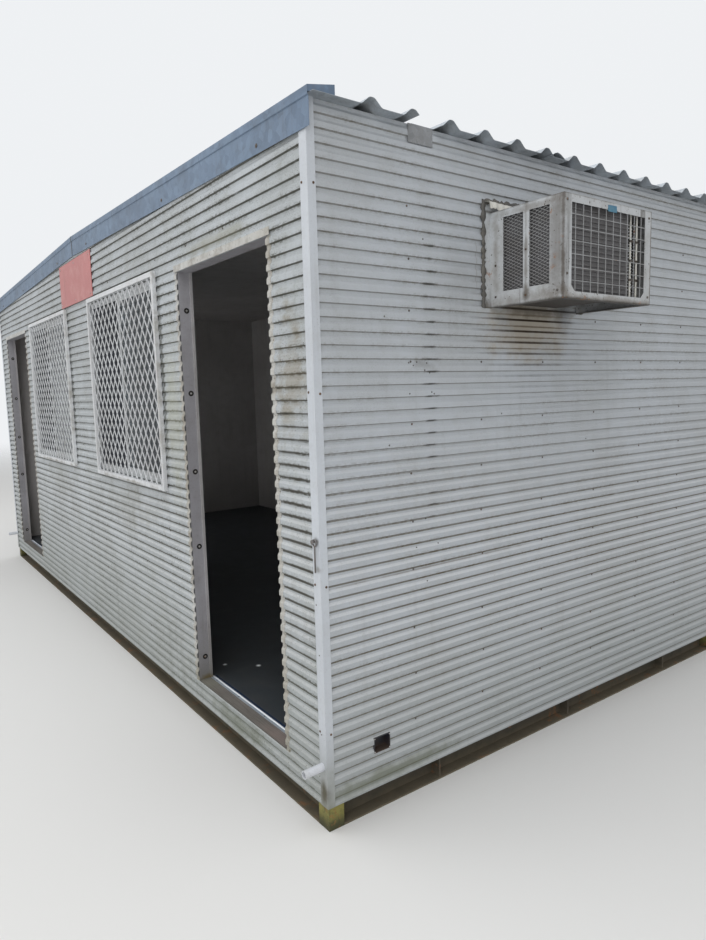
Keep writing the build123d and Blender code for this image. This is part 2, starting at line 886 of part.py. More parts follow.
# Cabin hook hanging on its pin at the front right corner
hook_x = half_length - hook_from_corner
hook_y = -half_width - hook_clearance - hook_wire / 2
with BuildPart() as pin:
    with BuildSketch(Plane.XZ.offset(half_width)) as section:
        with Locations((hook_x, hook_height)):
            Circle(eye_pin_radius)
    extrude(section.sketch, amount=2 * hook_clearance + hook_wire)
    with BuildSketch(Plane.XZ.offset(half_width + 2 * hook_clearance + hook_wire)) as section:
        with Locations((hook_x, hook_height)):
            Circle(eye_head_radius)
    extrude(section.sketch, amount=eye_head_thickness)
finish(pin, "hook_pin")

ring_centre_z = hook_height + eye_pin_radius - hook_ring_radius + hook_wire / 2 + ring_play
shank_top = ring_centre_z - hook_ring_radius
shank_foot = ring_centre_z - hook_length
with BuildPart() as hook:
    with Locations(Location((hook_x, hook_y, ring_centre_z), (90, 0, 0))):
        Torus(hook_ring_radius, hook_wire / 2)
    with BuildLine() as shank:
        Line((hook_x, hook_y, shank_top), (hook_x, hook_y, shank_foot))
        RadiusArc(
            (hook_x, hook_y, shank_foot),
            (hook_x + 2 * hook_curl, hook_y, shank_foot),
            hook_curl,
        )
    with BuildSketch(Plane(origin=(hook_x, hook_y, shank_top), z_dir=(0, 0, -1))):
        Circle(hook_wire / 2)
    sweep(path=shank.line)
finish(hook, "cabin_hook")

# Small inlet housing let into the foot of the right end wall
with BuildPart() as inlet:
    block((core_x - inlet_depth, crest_x), inlet_y, inlet_z)
    block(
        (core_x - inlet_depth + inlet_wall, crest_x + cut_margin),
        (inlet_y[0] + inlet_wall, inlet_y[1] - inlet_wall),
        (inlet_z[0] + inlet_wall, inlet_z[1] - inlet_wall),
        mode=Mode.SUBTRACT,
    )
finish(inlet, "power_inlet")

# Plain plate patched over the wall under the open edge of the roof strip
with BuildPart() as patch:
    block(
        (crest_x, crest_x + patch_thickness),
        (-half_width + patch_from_front, -half_width + patch_from_front + patch_width),
        (wall_top - patch_height, wall_top - patch_drop),
    )
finish(patch, "roof_edge_patch")
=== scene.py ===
import bpy, math, random
from mathutils import Vector, Matrix


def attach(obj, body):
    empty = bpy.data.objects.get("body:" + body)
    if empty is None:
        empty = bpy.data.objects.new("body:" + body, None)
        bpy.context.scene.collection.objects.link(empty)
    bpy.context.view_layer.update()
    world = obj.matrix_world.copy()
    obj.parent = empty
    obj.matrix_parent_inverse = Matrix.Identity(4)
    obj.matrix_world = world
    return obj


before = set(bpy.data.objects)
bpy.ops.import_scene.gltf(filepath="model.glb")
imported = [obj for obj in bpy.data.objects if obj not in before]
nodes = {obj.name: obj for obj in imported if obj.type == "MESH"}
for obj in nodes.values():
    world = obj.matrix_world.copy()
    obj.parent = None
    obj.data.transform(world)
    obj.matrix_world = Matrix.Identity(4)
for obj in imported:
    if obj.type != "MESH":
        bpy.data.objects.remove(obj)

random.seed(41)
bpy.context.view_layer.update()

# Sizes of the cabin that the looks and the added pieces follow, in metres
cabin = dict(
    halfLength=3.0,
    halfWidth=1.5,
    crest=1.4988,          # outer face of the ribs on the long walls
    endCrest=2.9988,       # outer face of the ribs on the end walls
    claddingBottom=0.1,
    wallTop=2.695,
    ridgeRise=0.08,
    ribPitch=0.0493,
    ribDepth=0.007,
    ledgePhase=0.25,       # where in a pitch the rib falls back
    ledgeTall=0.011,
    undercutPhase=0.696,   # where it comes forward again
    undercutTall=0.004,
)


def addObject(name, data):
    made = bpy.data.objects.new(name, data)
    bpy.context.scene.collection.objects.link(made)
    return made


# Camera: where the photograph was taken from, in metres and degrees
cameraSettings = dict(
    place=(5.0546, -2.8359, 1.6955),
    heading=53.93,      # turned left from looking along +Y
    tiltDown=6.677,
    roll=1.546,         # the picture's right side dips
    lens=26.15,
    sensor=36,
    nearest=0.05,
    farthest=200,
)


def makeCamera(view):
    heading = math.radians(view["heading"])
    down = math.radians(view["tiltDown"])
    roll = math.radians(view["roll"])
    level = Vector((-math.sin(heading), math.cos(heading), 0))
    forward = level * math.cos(down) - Vector((0, 0, math.sin(down)))
    levelRight = forward.cross(Vector((0, 0, 1))).normalized()
    levelUp = levelRight.cross(forward)
    right = levelRight * math.cos(roll) - levelUp * math.sin(roll)
    up = right.cross(forward)
    turn = Matrix((right, up, -forward)).transposed()
    data = bpy.data.cameras.new("photoCamera")
    data.lens = view["lens"]
    data.sensor_width = view["sensor"]
    data.clip_start = view["nearest"]
    data.clip_end = view["farthest"]
    camera = addObject("photoCamera", data)
    camera.matrix_world = Matrix.Translation(view["place"]) @ turn.to_4x4()
    bpy.context.scene.camera = camera


makeCamera(cameraSettings)


# Shader building blocks; a socket knows its own tree
def feed(value, socket):
    if isinstance(value, bpy.types.NodeSocket):
        socket.id_data.links.new(value, socket)
    else:
        socket.default_value = value


def addNode(tree, kind, inputs=None, **values):
    made = tree.nodes.new("ShaderNode" + kind)
    for key, value in values.items():
        setattr(made, key, value)
    for place, value in (inputs or {}).items():
        feed(value, made.inputs[place])
    return made


def calc(operation, a, b=0.0):
    # a sum stays between 0 and 1
    settings = {"operation": operation, "use_clamp": operation == "ADD"}
    return addNode(a.id_data, "Math", {0: a, 1: b}, **settings).outputs[0]


def times(a, b):
    return calc("MULTIPLY", a, b)


def fade(value, low, high):
    # 0 at the first limit, 1 at the second, smooth between
    limits = {0: value, 1: low, 2: high}
    return addNode(value.id_data, "MapRange", limits, interpolation_type="SMOOTHSTEP").outputs[0]


def cloud(place, scale, detail, rough, squeeze=None):
    if squeeze:
        place = addNode(place.id_data, "Mapping", {"Vector": place, "Scale": squeeze}).outputs[0]
    inputs = {"Vector": place, "Scale": scale, "Detail": detail, "Roughness": rough}
    return addNode(place.id_data, "TexNoise", inputs).outputs["Fac"]


def mixColour(amount, below, above, mode="MIX"):
    # a bare number has no tree, so then it is found from the upper colour
    tree = (above if isinstance(amount, float) else amount).id_data
    inputs = {0: amount, 6: below, 7: above}
    return addNode(tree, "Mix", inputs, data_type="RGBA", blend_type=mode).outputs[2]


def spot(place, centre, reach, ragged):
    # soft blot round a point; reach is given along each axis
    tree, shrink = place.id_data, tuple(1 / part for part in reach)
    away = addNode(tree, "VectorMath", {0: place, 1: centre}, operation="SUBTRACT").outputs[0]
    scaled = addNode(tree, "VectorMath", {0: away, 1: shrink}, operation="MULTIPLY").outputs[0]
    length = addNode(tree, "VectorMath", {0: scaled}, operation="LENGTH").outputs["Value"]
    return fade(calc("SUBTRACT", length, ragged), 0.75, 0.1)


def ribLine(height, phase, halfTall, crisp=0.45):
    # 1 on a level line once in each rib pitch
    count = calc("DIVIDE", calc("SUBTRACT", height, cabin["claddingBottom"]), cabin["ribPitch"])
    within = calc("FRACT", count)
    off = calc("ABSOLUTE", calc("SUBTRACT", within, phase))
    return fade(off, halfTall, halfTall * crisp)


def colour(value):
    return (*value, 1)


# Layers of a weathered surface
def paintShade(place, broad, middle, look):
    # the clean material: broad and middling changes of colour, grain, zinc spangle
    shade = mixColour(fade(broad, 0.35, 0.68), colour(look["base"]), colour(look["second"]))
    mottle = times(fade(middle, 0.42, 0.72), look.get("mottle", 0.35))
    shade = mixColour(mottle, shade, colour(look["third"]))
    if "grain" in look:
        lines = cloud(place, look["grainScale"], 5.0, 0.7, look["grain"])
        amount = times(fade(lines, 0.42, 0.66), look.get("grainDepth", 0.6))
        shade = mixColour(amount, shade, colour(look["grainColour"]))
    if "spangle" in look:
        cells = addNode(place.id_data, "TexVoronoi", {"Vector": place, "Scale": look["spangle"]})
        grey = calc("ADD", cells.outputs["Color"])
        shade = mixColour(0.2, shade, grey, "SOFT_LIGHT")
    return shade


def ribDirtAndShade(place, height, shade, line):
    # painted highlights on the ledges low down, and dirt, mould and painted shade under each rib
    lowDown = fade(height, 1.75, 0.95)
    # painted highlight: the ledges, which face up, lightened low on the wall
    ledgeHighlight = times(ribLine(height, cabin["ledgePhase"], 0.15), line["ledgeHighlight"])
    shade = mixColour(times(ledgeHighlight, lowDown), shade, colour(line["ledgeHighlightColour"]))
    uneven = fade(cloud(place, 4.5, 6.0, 0.75, (1, 1, 5)), line["low"], line["high"])
    # dark line under each rib: dirt, and painted shade in the undercut and, low on the wall, in the valley
    # below it
    crisp = times(ribLine(height, cabin["undercutPhase"], line["tall"], 0.8), line["amount"])
    valley = ribLine(height, cabin["undercutPhase"] - 0.1, line["deep"], 0.75)
    valley = times(valley, times(lowDown, line["valley"]))
    mark = times(calc("MAXIMUM", crisp, valley), uneven)
    mould = fade(cloud(place, 42, 5.0, 0.8, (1, 1, 1.8)), 0.47, 0.57)
    patches = fade(cloud(place, 2.2, 3.0, 0.6, (1, 1, 1.5)), 0.4, 0.6)
    spread = times(ribLine(height, cabin["undercutPhase"], 0.26), mould)
    spread = times(spread, times(patches, line["mould"]))
    return mixColour(calc("ADD", mark, spread), shade, colour(line["colour"]))


def gritAmount(place, amount):
    # short dark dashes, in patches
    dashes = fade(cloud(place, 120, 4.0, 0.8, (1, 1, 2.4)), 0.54, 0.6)
    where = fade(cloud(place, 3.4, 4.0, 0.7), 0.36, 0.6)
    return times(times(dashes, where), amount)


def looseDirt(place, fine, look):
    # dust all over, streaks that run down, and groups of specks
    dirt = times(fade(fine, 0.5, 0.8), look.get("dust", 0.12))
    if "streaks" in look:
        runs = cloud(place, look.get("streakScale", 16), 4.0, 0.6, (1, 1, 0.045))
        where = fade(cloud(place, 2.3, 3.0, 0.5), 0.38, 0.66)
        mask = times(fade(runs, 0.5, 0.74), where)
        dirt = calc("ADD", dirt, times(mask, look["streaks"]))
    if "specks" in look:
        speck = look["specks"]
        dots = fade(cloud(place, speck.get("scale", 150), 2.0, 0.5), 0.665, 0.7)
        group = fade(cloud(place, 3.1, 5.0, 0.7), speck["low"], speck["low"] + 0.2)
        dirt = calc("ADD", dirt, times(times(dots, group), speck["amount"]))
    return dirt


def splashAndShadeAmount(height, middle, low):
    # darker towards the ground, with a ragged top: thrown-up mud, and on the walls and the lining painted
    # shade as well
    near = calc("ADD", height, times(middle, low["ragged"]))
    return times(fade(near, low["top"] + low["ragged"], low["foot"]), low["amount"])


def stainAndShade(centre, reach, amount, tone, **more):
    # a blot round a point, for real stains and for painted shade and shadow; more may hold ragged, and for
    # thin lines on the ribs their half height and the phase they follow
    return dict(more, centre=centre, reach=reach, amount=amount, tone=tone)


def stainAndShadeAmount(place, height, middle, one):
    ragged = times(calc("SUBTRACT", middle, 0.5), one.get("ragged", 0.9))
    blot = times(spot(place, one["centre"], one["reach"], ragged), one["amount"])
    if "lineStain" in one:
        phase = cabin[one.get("along", "undercutPhase")]
        blot = times(blot, ribLine(height, phase, one["lineStain"]))
    return blot


def newMaterial(name):
    material = bpy.data.materials.new(name)
    material.use_nodes = True
    tree = material.node_tree
    return material, tree, tree.nodes["Principled BSDF"]


def weathered(name, look):
    # one procedural surface from a dictionary of what is on it; what isn't named is left out
    material, tree, surface = newMaterial(name)
    place = addNode(tree, "TexCoord").outputs["Object"]
    height = addNode(tree, "SeparateXYZ", {0: place}).outputs[2]
    scale = look.get("scale", 1.0)
    broad = cloud(place, 1.7 * scale, 5.0, 0.55)
    middle = cloud(place, 11 * scale, 6.0, 0.65)
    fine = cloud(place, 95 * scale, 3.0, 0.7)
    grime = colour(look.get("grime", (0.12, 0.1, 0.075)))

    shade = paintShade(place, broad, middle, look)
    if "ribLines" in look:
        shade = ribDirtAndShade(place, height, shade, look["ribLines"])
    if "grit" in look:
        shade = mixColour(gritAmount(place, look["grit"]), shade, grime)
    dulled = looseDirt(place, fine, look)     # where dirt takes the gloss away
    shade = mixColour(dulled, shade, grime)
    if "splashAndShade" in look:
        spread = splashAndShadeAmount(height, middle, look["splashAndShade"])
        shade = mixColour(spread, shade, colour(look["splashAndShade"]["colour"]))
        dulled = calc("ADD", dulled, spread)
    for one in look.get("stainsAndShade", ()):
        blot = stainAndShadeAmount(place, height, middle, one)
        shade = mixColour(blot, shade, colour(one["tone"]))
        dulled = calc("ADD", dulled, times(blot, 0.5))
    if "rust" in look:
        rust = look["rust"]
        patch = fade(cloud(place, rust["scale"], 8.0, 0.75), rust["from"], rust["from"] + 0.07)
        patch = times(patch, rust["amount"])
        rustShade = mixColour(fine, colour((0.19, 0.075, 0.028)), colour((0.36, 0.17, 0.07)))
        shade = mixColour(patch, shade, rustShade)
        dulled = calc("ADD", dulled, patch)
    feed(shade, surface.inputs["Base Color"])

    low, high = look["rough"]
    rough = addNode(tree, "MapRange", {0: middle, 3: low, 4: high}).outputs[0]
    rough = calc("ADD", rough, times(dulled, look.get("dirtRough", 0.3)))
    feed(rough, surface.inputs["Roughness"])
    feed(look.get("metal", 0.0), surface.inputs["Metallic"])
    feed(look.get("shine", 0.5), surface.inputs["Specular IOR Level"])

    relief = calc("ADD", times(fine, 0.35), times(middle, 0.65))
    bump = {"Height": relief, "Strength": look["bump"], "Distance": 0.004}
    normal = addNode(tree, "Bump", bump).outputs["Normal"]
    if "dents" in look:
        dented = cloud(place, 3.2, 2.0, 0.45)
        bump = {"Height": dented, "Strength": 1.0, "Distance": look["dents"], "Normal": normal}
        normal = addNode(tree, "Bump", bump).outputs["Normal"]
    feed(normal, surface.inputs["Normal"])
    return material


def dress(material, *names):
    for name in names:
        mesh = nodes[name].data
        mesh.materials.clear()
        mesh.materials.append(material)


# Added pieces: meshes built in the cabin's own place, so that object coordinates are cabin coordinates
def addPiece(name, points, faces, material, body="cabin", smooth=False):
    mesh = bpy.data.meshes.new(name)
    mesh.from_pydata([tuple(point) for point in points], [], faces)
    mesh.validate()
    mesh.update()
    if smooth:
        mesh.shade_smooth()
    else:
        mesh.shade_flat()
    mesh.materials.append(material)
    piece = addObject(name, mesh)
    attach(piece, body)


boxFaces = [(0, 1, 3, 2), (4, 6, 7, 5), (0, 4, 5, 1), (2, 3, 7, 6), (0, 2, 6, 4), (1, 5, 7, 3)]


def addBoxes(name, boxes, material, shift=0.0):
    # boxes from their low and high corners, each corner shifted a little where shift is given
    points, faces = [], []
    for low, high in boxes:
        start = len(points)
        corners = [(x, y, z) for x in (low[0], high[0]) for y in (low[1], high[1]) for z in (low[2], high[2])]
        for corner in corners:
            points.append(Vector(corner) + Vector((random.uniform(-shift, shift) for _ in range(3))))
        faces += [tuple(start + i for i in face) for face in boxFaces]
    addPiece(name, points, faces, material)


def bridge(faces, start, sides, rings):
    # faces round a row of rings of points
    for ring in range(rings - 1):
        for step in range(sides):
            a, b = start + ring * sides + step, start + ring * sides + (step + 1) % sides
            faces.append((a, b, b + sides, a + sides))


# Profile of a screw head: how far it is sunk, and the rest as parts of its radius and height
headShape = dict(
    sunk=-0.0005, shoulder=0.45, crown=0.72, crownRise=0.9, washerEdge=0.22, washerTop=0.26,
)


def addScrews(name, places, outward, screw, material):
    # low domed heads on a face, each with its own turn, in one mesh
    (radius, height), sides, washer = screw["size"], screw.get("sides", 8), screw.get("washer")
    outward = Vector(outward)
    across = outward.orthogonal().normalized()
    up = outward.cross(across)
    head = headShape
    rings = [(radius, head["sunk"])]
    if washer:
        edge, foot = height * head["washerEdge"], height * head["washerTop"]
        rings = [(washer, head["sunk"]), (washer, edge), (radius, foot)]
    rings += [(radius, height * head["shoulder"]), (radius * head["crown"], height * head["crownRise"])]
    points, faces = [], []
    for place in places:
        start, turn = len(points), random.uniform(0, math.tau)
        for ringRadius, rise in rings:
            for step in range(sides):
                angle = turn + math.tau * step / sides
                rim = (across * math.cos(angle) + up * math.sin(angle)) * ringRadius
                points.append(Vector(place) + outward * rise + rim)
        points.append(Vector(place) + outward * height)
        top = start + (len(rings) - 1) * sides
        bridge(faces, start, sides, len(rings))
        faces += [(top + step, top + (step + 1) % sides, len(points) - 1) for step in range(sides)]
        faces.append(tuple(start + sides - 1 - step for step in range(sides)))
    addPiece(name, points, faces, material)


def addBead(name, path, radius, material, wobble=0.0, sides=7, squash=(1, 1, 1)):
    # round bead along a path, uneven where wobble is given
    path = [Vector(point) for point in path]
    points, faces = [], []
    for index, point in enumerate(path):
        ahead = (path[min(index + 1, len(path) - 1)] - path[max(index - 1, 0)]).normalized()
        across = ahead.orthogonal().normalized()
        up = ahead.cross(across)
        size = radius * (1 + random.uniform(-wobble, wobble))
        for step in range(sides):
            angle = math.tau * step / sides
            offset = (across * math.cos(angle) + up * math.sin(angle)) * size
            points.append(point + offset * Vector(squash))
    bridge(faces, 0, sides, len(path))
    faces.append(tuple(range(sides - 1, -1, -1)))
    faces.append(tuple((len(path) - 1) * sides + step for step in range(sides)))
    addPiece(name, points, faces, material, smooth=True)


def between(start, end, count, jitter=0.0):
    start, end = Vector(start), Vector(end)
    return [start.lerp(end, step / (count - 1)) + Vector((random.uniform(-jitter, jitter) for _ in range(3)))
            for step in range(count)]


# Wall cladding: white paint on ribbed steel, greyed and blued as painted shade, the end and back walls more;
# painted highlights on low ledges, dirt and painted shade under every rib, mould, mud and painted shade low
# down
frontWallLook = dict(
    # base greyed and blued from white: painted shade
    base=(0.495, 0.53, 0.565), second=(0.425, 0.453, 0.475), third=(0.345, 0.355, 0.33),
    grime=(0.085, 0.08, 0.06), dust=0.2, mottle=0.4, rough=(0.36, 0.56), grit=0.55,
    ribLines={
        "tall": 0.055, "amount": 0.92, "valley": 0.95, "deep": 0.1, "mould": 0.85, "low": 0.16, "high": 0.42,
        "colour": (0.035, 0.032, 0.022), "ledgeHighlight": 0.45, "ledgeHighlightColour": (0.72, 0.74, 0.75),
    },
    streaks=0.3, specks={"low": 0.36, "amount": 0.85}, bump=0.3, dents=0.012,
    # darker towards the foot: mud, and painted shade near the ground
    splashAndShade={"top": 1.15, "foot": 0.1, "ragged": 0.3, "amount": 0.52, "colour": (0.19, 0.205, 0.17)},
    stainsAndShade=[
        stainAndShade((2.24, -1.5, 0.15), (0.6, 0.1, 0.09), 0.5, (0.08, 0.09, 0.04)),
        *(stainAndShade((x, -1.5, 1.02), (0.75, 0.1, 0.34), 0.25, (0.2, 0.19, 0.15)) for x in (0.9, -0.9)),
        stainAndShade((1.66, -1.5, 1.6), (0.2, 0.1, 0.75), 0.34, (0.4, 0.4, 0.28)),
        stainAndShade((2.84, -1.5, 1.75), (0.22, 0.1, 0.4), 0.5, (0.24, 0.2, 0.13), ragged=2.2),
        # dark lines under the right pier's ribs: painted shade in the undercuts, and dirt
        stainAndShade((2.84, -1.5, 1.1), (0.3, 0.1, 1.4), 0.9, (0.04, 0.036, 0.025), ragged=2.0, lineStain=0.15),
        # painted shadow beside each grille's right stile, with dirt
        *(stainAndShade((x, -1.5, 1.76), (0.035, 0.1, 0.9), 0.8, (0.05, 0.05, 0.035), ragged=0.5)
          for x in (1.545, -0.27)),
        stainAndShade((2.24, -1.5, 2.36), (0.62, 0.1, 0.07), 0.5, (0.26, 0.25, 0.18)),
    ],
)
endWallLook = dict(
    # base darker and bluer than the front wall's: painted shade
    base=(0.455, 0.487, 0.525), second=(0.42, 0.445, 0.47), third=(0.38, 0.393, 0.4),
    grime=(0.12, 0.1, 0.075), dust=0.1, mottle=0.3, rough=(0.34, 0.52), grit=0.16,
    ribLines={
        "tall": 0.045, "amount": 0.5, "valley": 0.8, "deep": 0.072, "mould": 0.25, "low": 0.12, "high": 0.42,
        "colour": (0.1, 0.08, 0.045), "ledgeHighlight": 0.55, "ledgeHighlightColour": (0.7, 0.72, 0.74),
    },
    streaks=0.12, specks={"low": 0.56, "amount": 0.7}, bump=0.26, dents=0.014,
    # darker towards the foot: mud, and painted shade near the ground
    splashAndShade={"top": 0.95, "foot": 0.08, "ragged": 0.22, "amount": 0.42, "colour": (0.23, 0.245, 0.225)},
    stainsAndShade=[
        stainAndShade((3.0, -0.33, 1.98), (0.1, 0.5, 0.32), 0.6, (0.37, 0.29, 0.17)),
        stainAndShade((3.0, -0.33, 1.96), (0.1, 0.45, 0.26), 0.6, (0.06, 0.042, 0.026), lineStain=0.11),
        stainAndShade((3.0, -0.32, 2.01), (0.1, 0.64, 0.46), 1.0, (0.045, 0.028, 0.016), ragged=0.5,
              lineStain=0.13, along="ledgePhase"),
        # painted shadow just under the cage, with stain
        stainAndShade((3.0, -0.3, 2.03), (0.1, 0.42, 0.06), 0.8, (0.09, 0.075, 0.055)),
        # painted shade on the wall behind the cage's rods
        stainAndShade((3.0, -0.085, 2.21), (0.1, 0.16, 0.44), 0.97, (0.02, 0.019, 0.018), ragged=0.1),
        stainAndShade((3.0, -0.935, 1.75), (0.1, 0.07, 1.1), 0.85, (0.04, 0.037, 0.03), ragged=2.0, lineStain=0.11),
        stainAndShade((3.0, -0.98, 1.785), (0.1, 0.11, 0.05), 0.3, (0.1, 0.09, 0.07), ragged=2.5),
        stainAndShade((3.0, -0.9, 0.958), (0.1, 1.2, 0.008), 0.5, (0.14, 0.11, 0.08)),
        stainAndShade((3.0, -0.67, 2.2), (0.1, 0.006, 0.2), 0.4, (0.2, 0.19, 0.17)),
        stainAndShade((3.0, 0.3, 0.35), (0.1, 0.5, 0.12), 0.8, (0.06, 0.06, 0.035), lineStain=0.14),
        stainAndShade((3.0, -1.2, 0.14), (0.1, 0.7, 0.07), 0.6, (0.1, 0.11, 0.05)),
    ],
)
shelteredLook = dict(endWallLook, specks={"low": 0.45, "amount": 0.7}, stainsAndShade=[])
dress(weathered("frontCladding", frontWallLook), "front_cladding")
dress(weathered("endCladding", endWallLook), "right_end_cladding")
dress(weathered("farCladding", shelteredLook), "left_end_cladding", "back_cladding")

# Corner covers and doorway surrounds: smooth white folded steel
coverLook = dict(
    base=(0.56, 0.595, 0.64), second=(0.51, 0.54, 0.58), third=(0.44, 0.455, 0.46),
    dust=0.14, mottle=0.3, rough=(0.32, 0.5), bump=0.22, dents=0.008,
    streaks=0.25, specks={"low": 0.5, "amount": 0.7},
    splashAndShade={"top": 0.34, "foot": 0.08, "ragged": 0.24, "amount": 0.8, "colour": (0.13, 0.13, 0.07)},
    stainsAndShade=[
        stainAndShade((2.975, -1.5, 0.16), (0.05, 0.05, 0.12), 0.9, (0.07, 0.06, 0.03)),
        # painted shadow round the hook's pin, with dirt
        stainAndShade((2.98, -1.5, 1.144), (0.034, 0.034, 0.034), 0.75, (0.1, 0.085, 0.07), ragged=1.2),
        stainAndShade((2.985, -1.5, 1.04), (0.03, 0.03, 0.024), 0.5, (0.16, 0.14, 0.12), ragged=1.2),
    ],
)
dress(weathered("coverPaint", coverLook), "corner_covers", "corner_posts")
surroundLook = dict(coverLook, base=(0.5, 0.5, 0.48), second=(0.38, 0.36, 0.31), third=(0.2, 0.17, 0.125),
                    mottle=0.8, dust=0.4, streaks=0.7,
                    specks={"low": 0.3, "amount": 0.9, "scale": 90})
dress(weathered("surroundPaint", surroundLook), "door_surrounds")

# Roof and fascias: weathered zinc sheet
roofLook = dict(
    base=(0.42, 0.46, 0.5), second=(0.34, 0.37, 0.4), third=(0.26, 0.26, 0.25),
    dust=0.3, mottle=0.5, rough=(0.42, 0.62), metal=0.45, spangle=42,
    streaks=0.2, bump=0.3, dents=0.006,
    rust={"from": 0.63, "amount": 0.4, "scale": 5},
)
roofZinc = weathered("roofZinc", roofLook)
dress(roofZinc, "roof_front_strip_right", "roof_sheets_right", "roof_sheets_left", "ridge_cap")
patchLook = dict(roofLook, base=(0.25, 0.26, 0.275), second=(0.22, 0.23, 0.24), third=(0.2, 0.19, 0.175),
                 metal=0.1)
dress(weathered("patchZinc", patchLook), "roof_edge_patch")
fasciaLook = dict(
    base=(0.14, 0.2, 0.285), second=(0.12, 0.17, 0.245), third=(0.115, 0.145, 0.185),
    dust=0.2, mottle=0.45, rough=(0.44, 0.62), metal=0.3, spangle=30,
    streaks=0.35, bump=0.26, dents=0.012,
    rust={"from": 0.66, "amount": 0.3, "scale": 6},
)
dress(weathered("fasciaZinc", fasciaLook), "front_fascia", "back_fascia")

# Cage and air conditioner
cageLook = dict(
    base=(0.53, 0.555, 0.58), second=(0.46, 0.475, 0.485), third=(0.33, 0.325, 0.31),
    grime=(0.075, 0.066, 0.055), dust=0.2, mottle=0.5, rough=(0.45, 0.68), bump=0.4,
    streaks=0.95, streakScale=20, specks={"low": 0.3, "amount": 0.95, "scale": 90},
    rust={"from": 0.6, "amount": 0.65, "scale": 14},
    stainsAndShade=[
        # side frame
        stainAndShade((3.34, -0.59, 2.25), (0.1, 0.05, 0.5), 0.72, (0.16, 0.15, 0.14)),
        stainAndShade((3.25, -0.59, 2.4), (0.3, 0.05, 0.03), 0.5, (0.16, 0.14, 0.12), ragged=1.8),
        stainAndShade((3.15, -0.59, 2.045), (0.4, 0.05, 0.05), 0.45, (0.15, 0.125, 0.095), ragged=2.2),
        stainAndShade((3.374, -0.29, 2.035), (0.02, 0.6, 0.022), 0.5, (0.15, 0.12, 0.09), ragged=2.2),
        stainAndShade((3.19, -0.59, 2.06), (0.035, 0.05, 0.09), 0.8, (0.1, 0.085, 0.065)),
        stainAndShade((3.03, -0.59, 2.25), (0.03, 0.05, 0.4), 0.5, (0.2, 0.18, 0.15), ragged=1.6),
        stainAndShade((3.19, -0.59, 2.2), (0.014, 0.05, 0.4), 0.6, (0.16, 0.14, 0.12), ragged=1.6),
        # front corners and the far side
        stainAndShade((3.37, -0.59, 2.2), (0.016, 0.016, 0.8), 0.75, (0.07, 0.055, 0.04), ragged=1.2),
        # painted shade on the inside of the far side
        stainAndShade((3.2, 0.009, 2.2), (0.7, 0.004, 0.7), 0.95, (0.035, 0.032, 0.028), ragged=0.3),
        stainAndShade((3.375, 0.01, 2.2), (0.012, 0.014, 0.6), 0.7, (0.1, 0.07, 0.045)),
        # top, underside and the feet of the wall flange
        stainAndShade((3.19, -0.3, 2.424), (3.0, 3.0, 0.014), 0.8, (0.09, 0.08, 0.07), ragged=0.8),
        # painted shade and grime on the underside
        stainAndShade((3.19, -0.3, 2.024), (4.0, 4.0, 0.02), 0.95, (0.05, 0.042, 0.033), ragged=0.3),
        stainAndShade((3.0, 0.035, 2.04), (0.03, 0.04, 0.05), 0.9, (0.06, 0.048, 0.035)),
        stainAndShade((3.0, -0.61, 2.04), (0.03, 0.04, 0.06), 0.8, (0.07, 0.055, 0.04)),
    ],
)
dress(weathered("cagePaint", cageLook), "ac_cage_frame")
meshLook = dict(cageLook, base=(0.36, 0.375, 0.39), second=(0.3, 0.305, 0.31), third=(0.2, 0.19, 0.18),
                stainsAndShade=[], streaks=0.3, streakScale=16, specks={"low": 0.5, "amount": 0.6})
dress(weathered("wirePaint", meshLook), "ac_cage_mesh")
strandLook = dict(meshLook, base=(0.33, 0.335, 0.34), second=(0.27, 0.27, 0.27), third=(0.18, 0.165, 0.145))
strandPaint = weathered("strandPaint", strandLook)
# painted shade: the far side's strands, a near black copy of the near ones
shadedStrandLook = dict(strandLook, base=(0.06, 0.058, 0.055), second=(0.04, 0.038, 0.035))
shadedStrand = weathered("shadedStrand", shadedStrandLook)
rodLook = dict(
    base=(0.72, 0.72, 0.68), second=(0.66, 0.65, 0.6), third=(0.5, 0.47, 0.4),
    scale=3, dust=0.15, mottle=0.4, rough=(0.4, 0.6), bump=0.3,
)
rodPaint = weathered("rodPaint", rodLook)
dress(rodPaint, "ac_cage_rods")
unitLook = dict(
    base=(0.135, 0.132, 0.138), second=(0.115, 0.112, 0.115), third=(0.085, 0.08, 0.078),
    dust=0.25, mottle=0.5, rough=(0.5, 0.75), bump=0.35,
    grain=(1, 26, 1), grainScale=5, grainColour=(0.12, 0.118, 0.12), grainDepth=0.4,
    # painted shade and grime on the unit's underside
    stainsAndShade=[stainAndShade((3.19, -0.3, 2.05), (2.0, 2.0, 0.012), 0.9, (0.042, 0.035, 0.028), ragged=0.7)],
)
unitCasing = weathered("unitCasing", unitLook)
dress(unitCasing, "ac_unit")

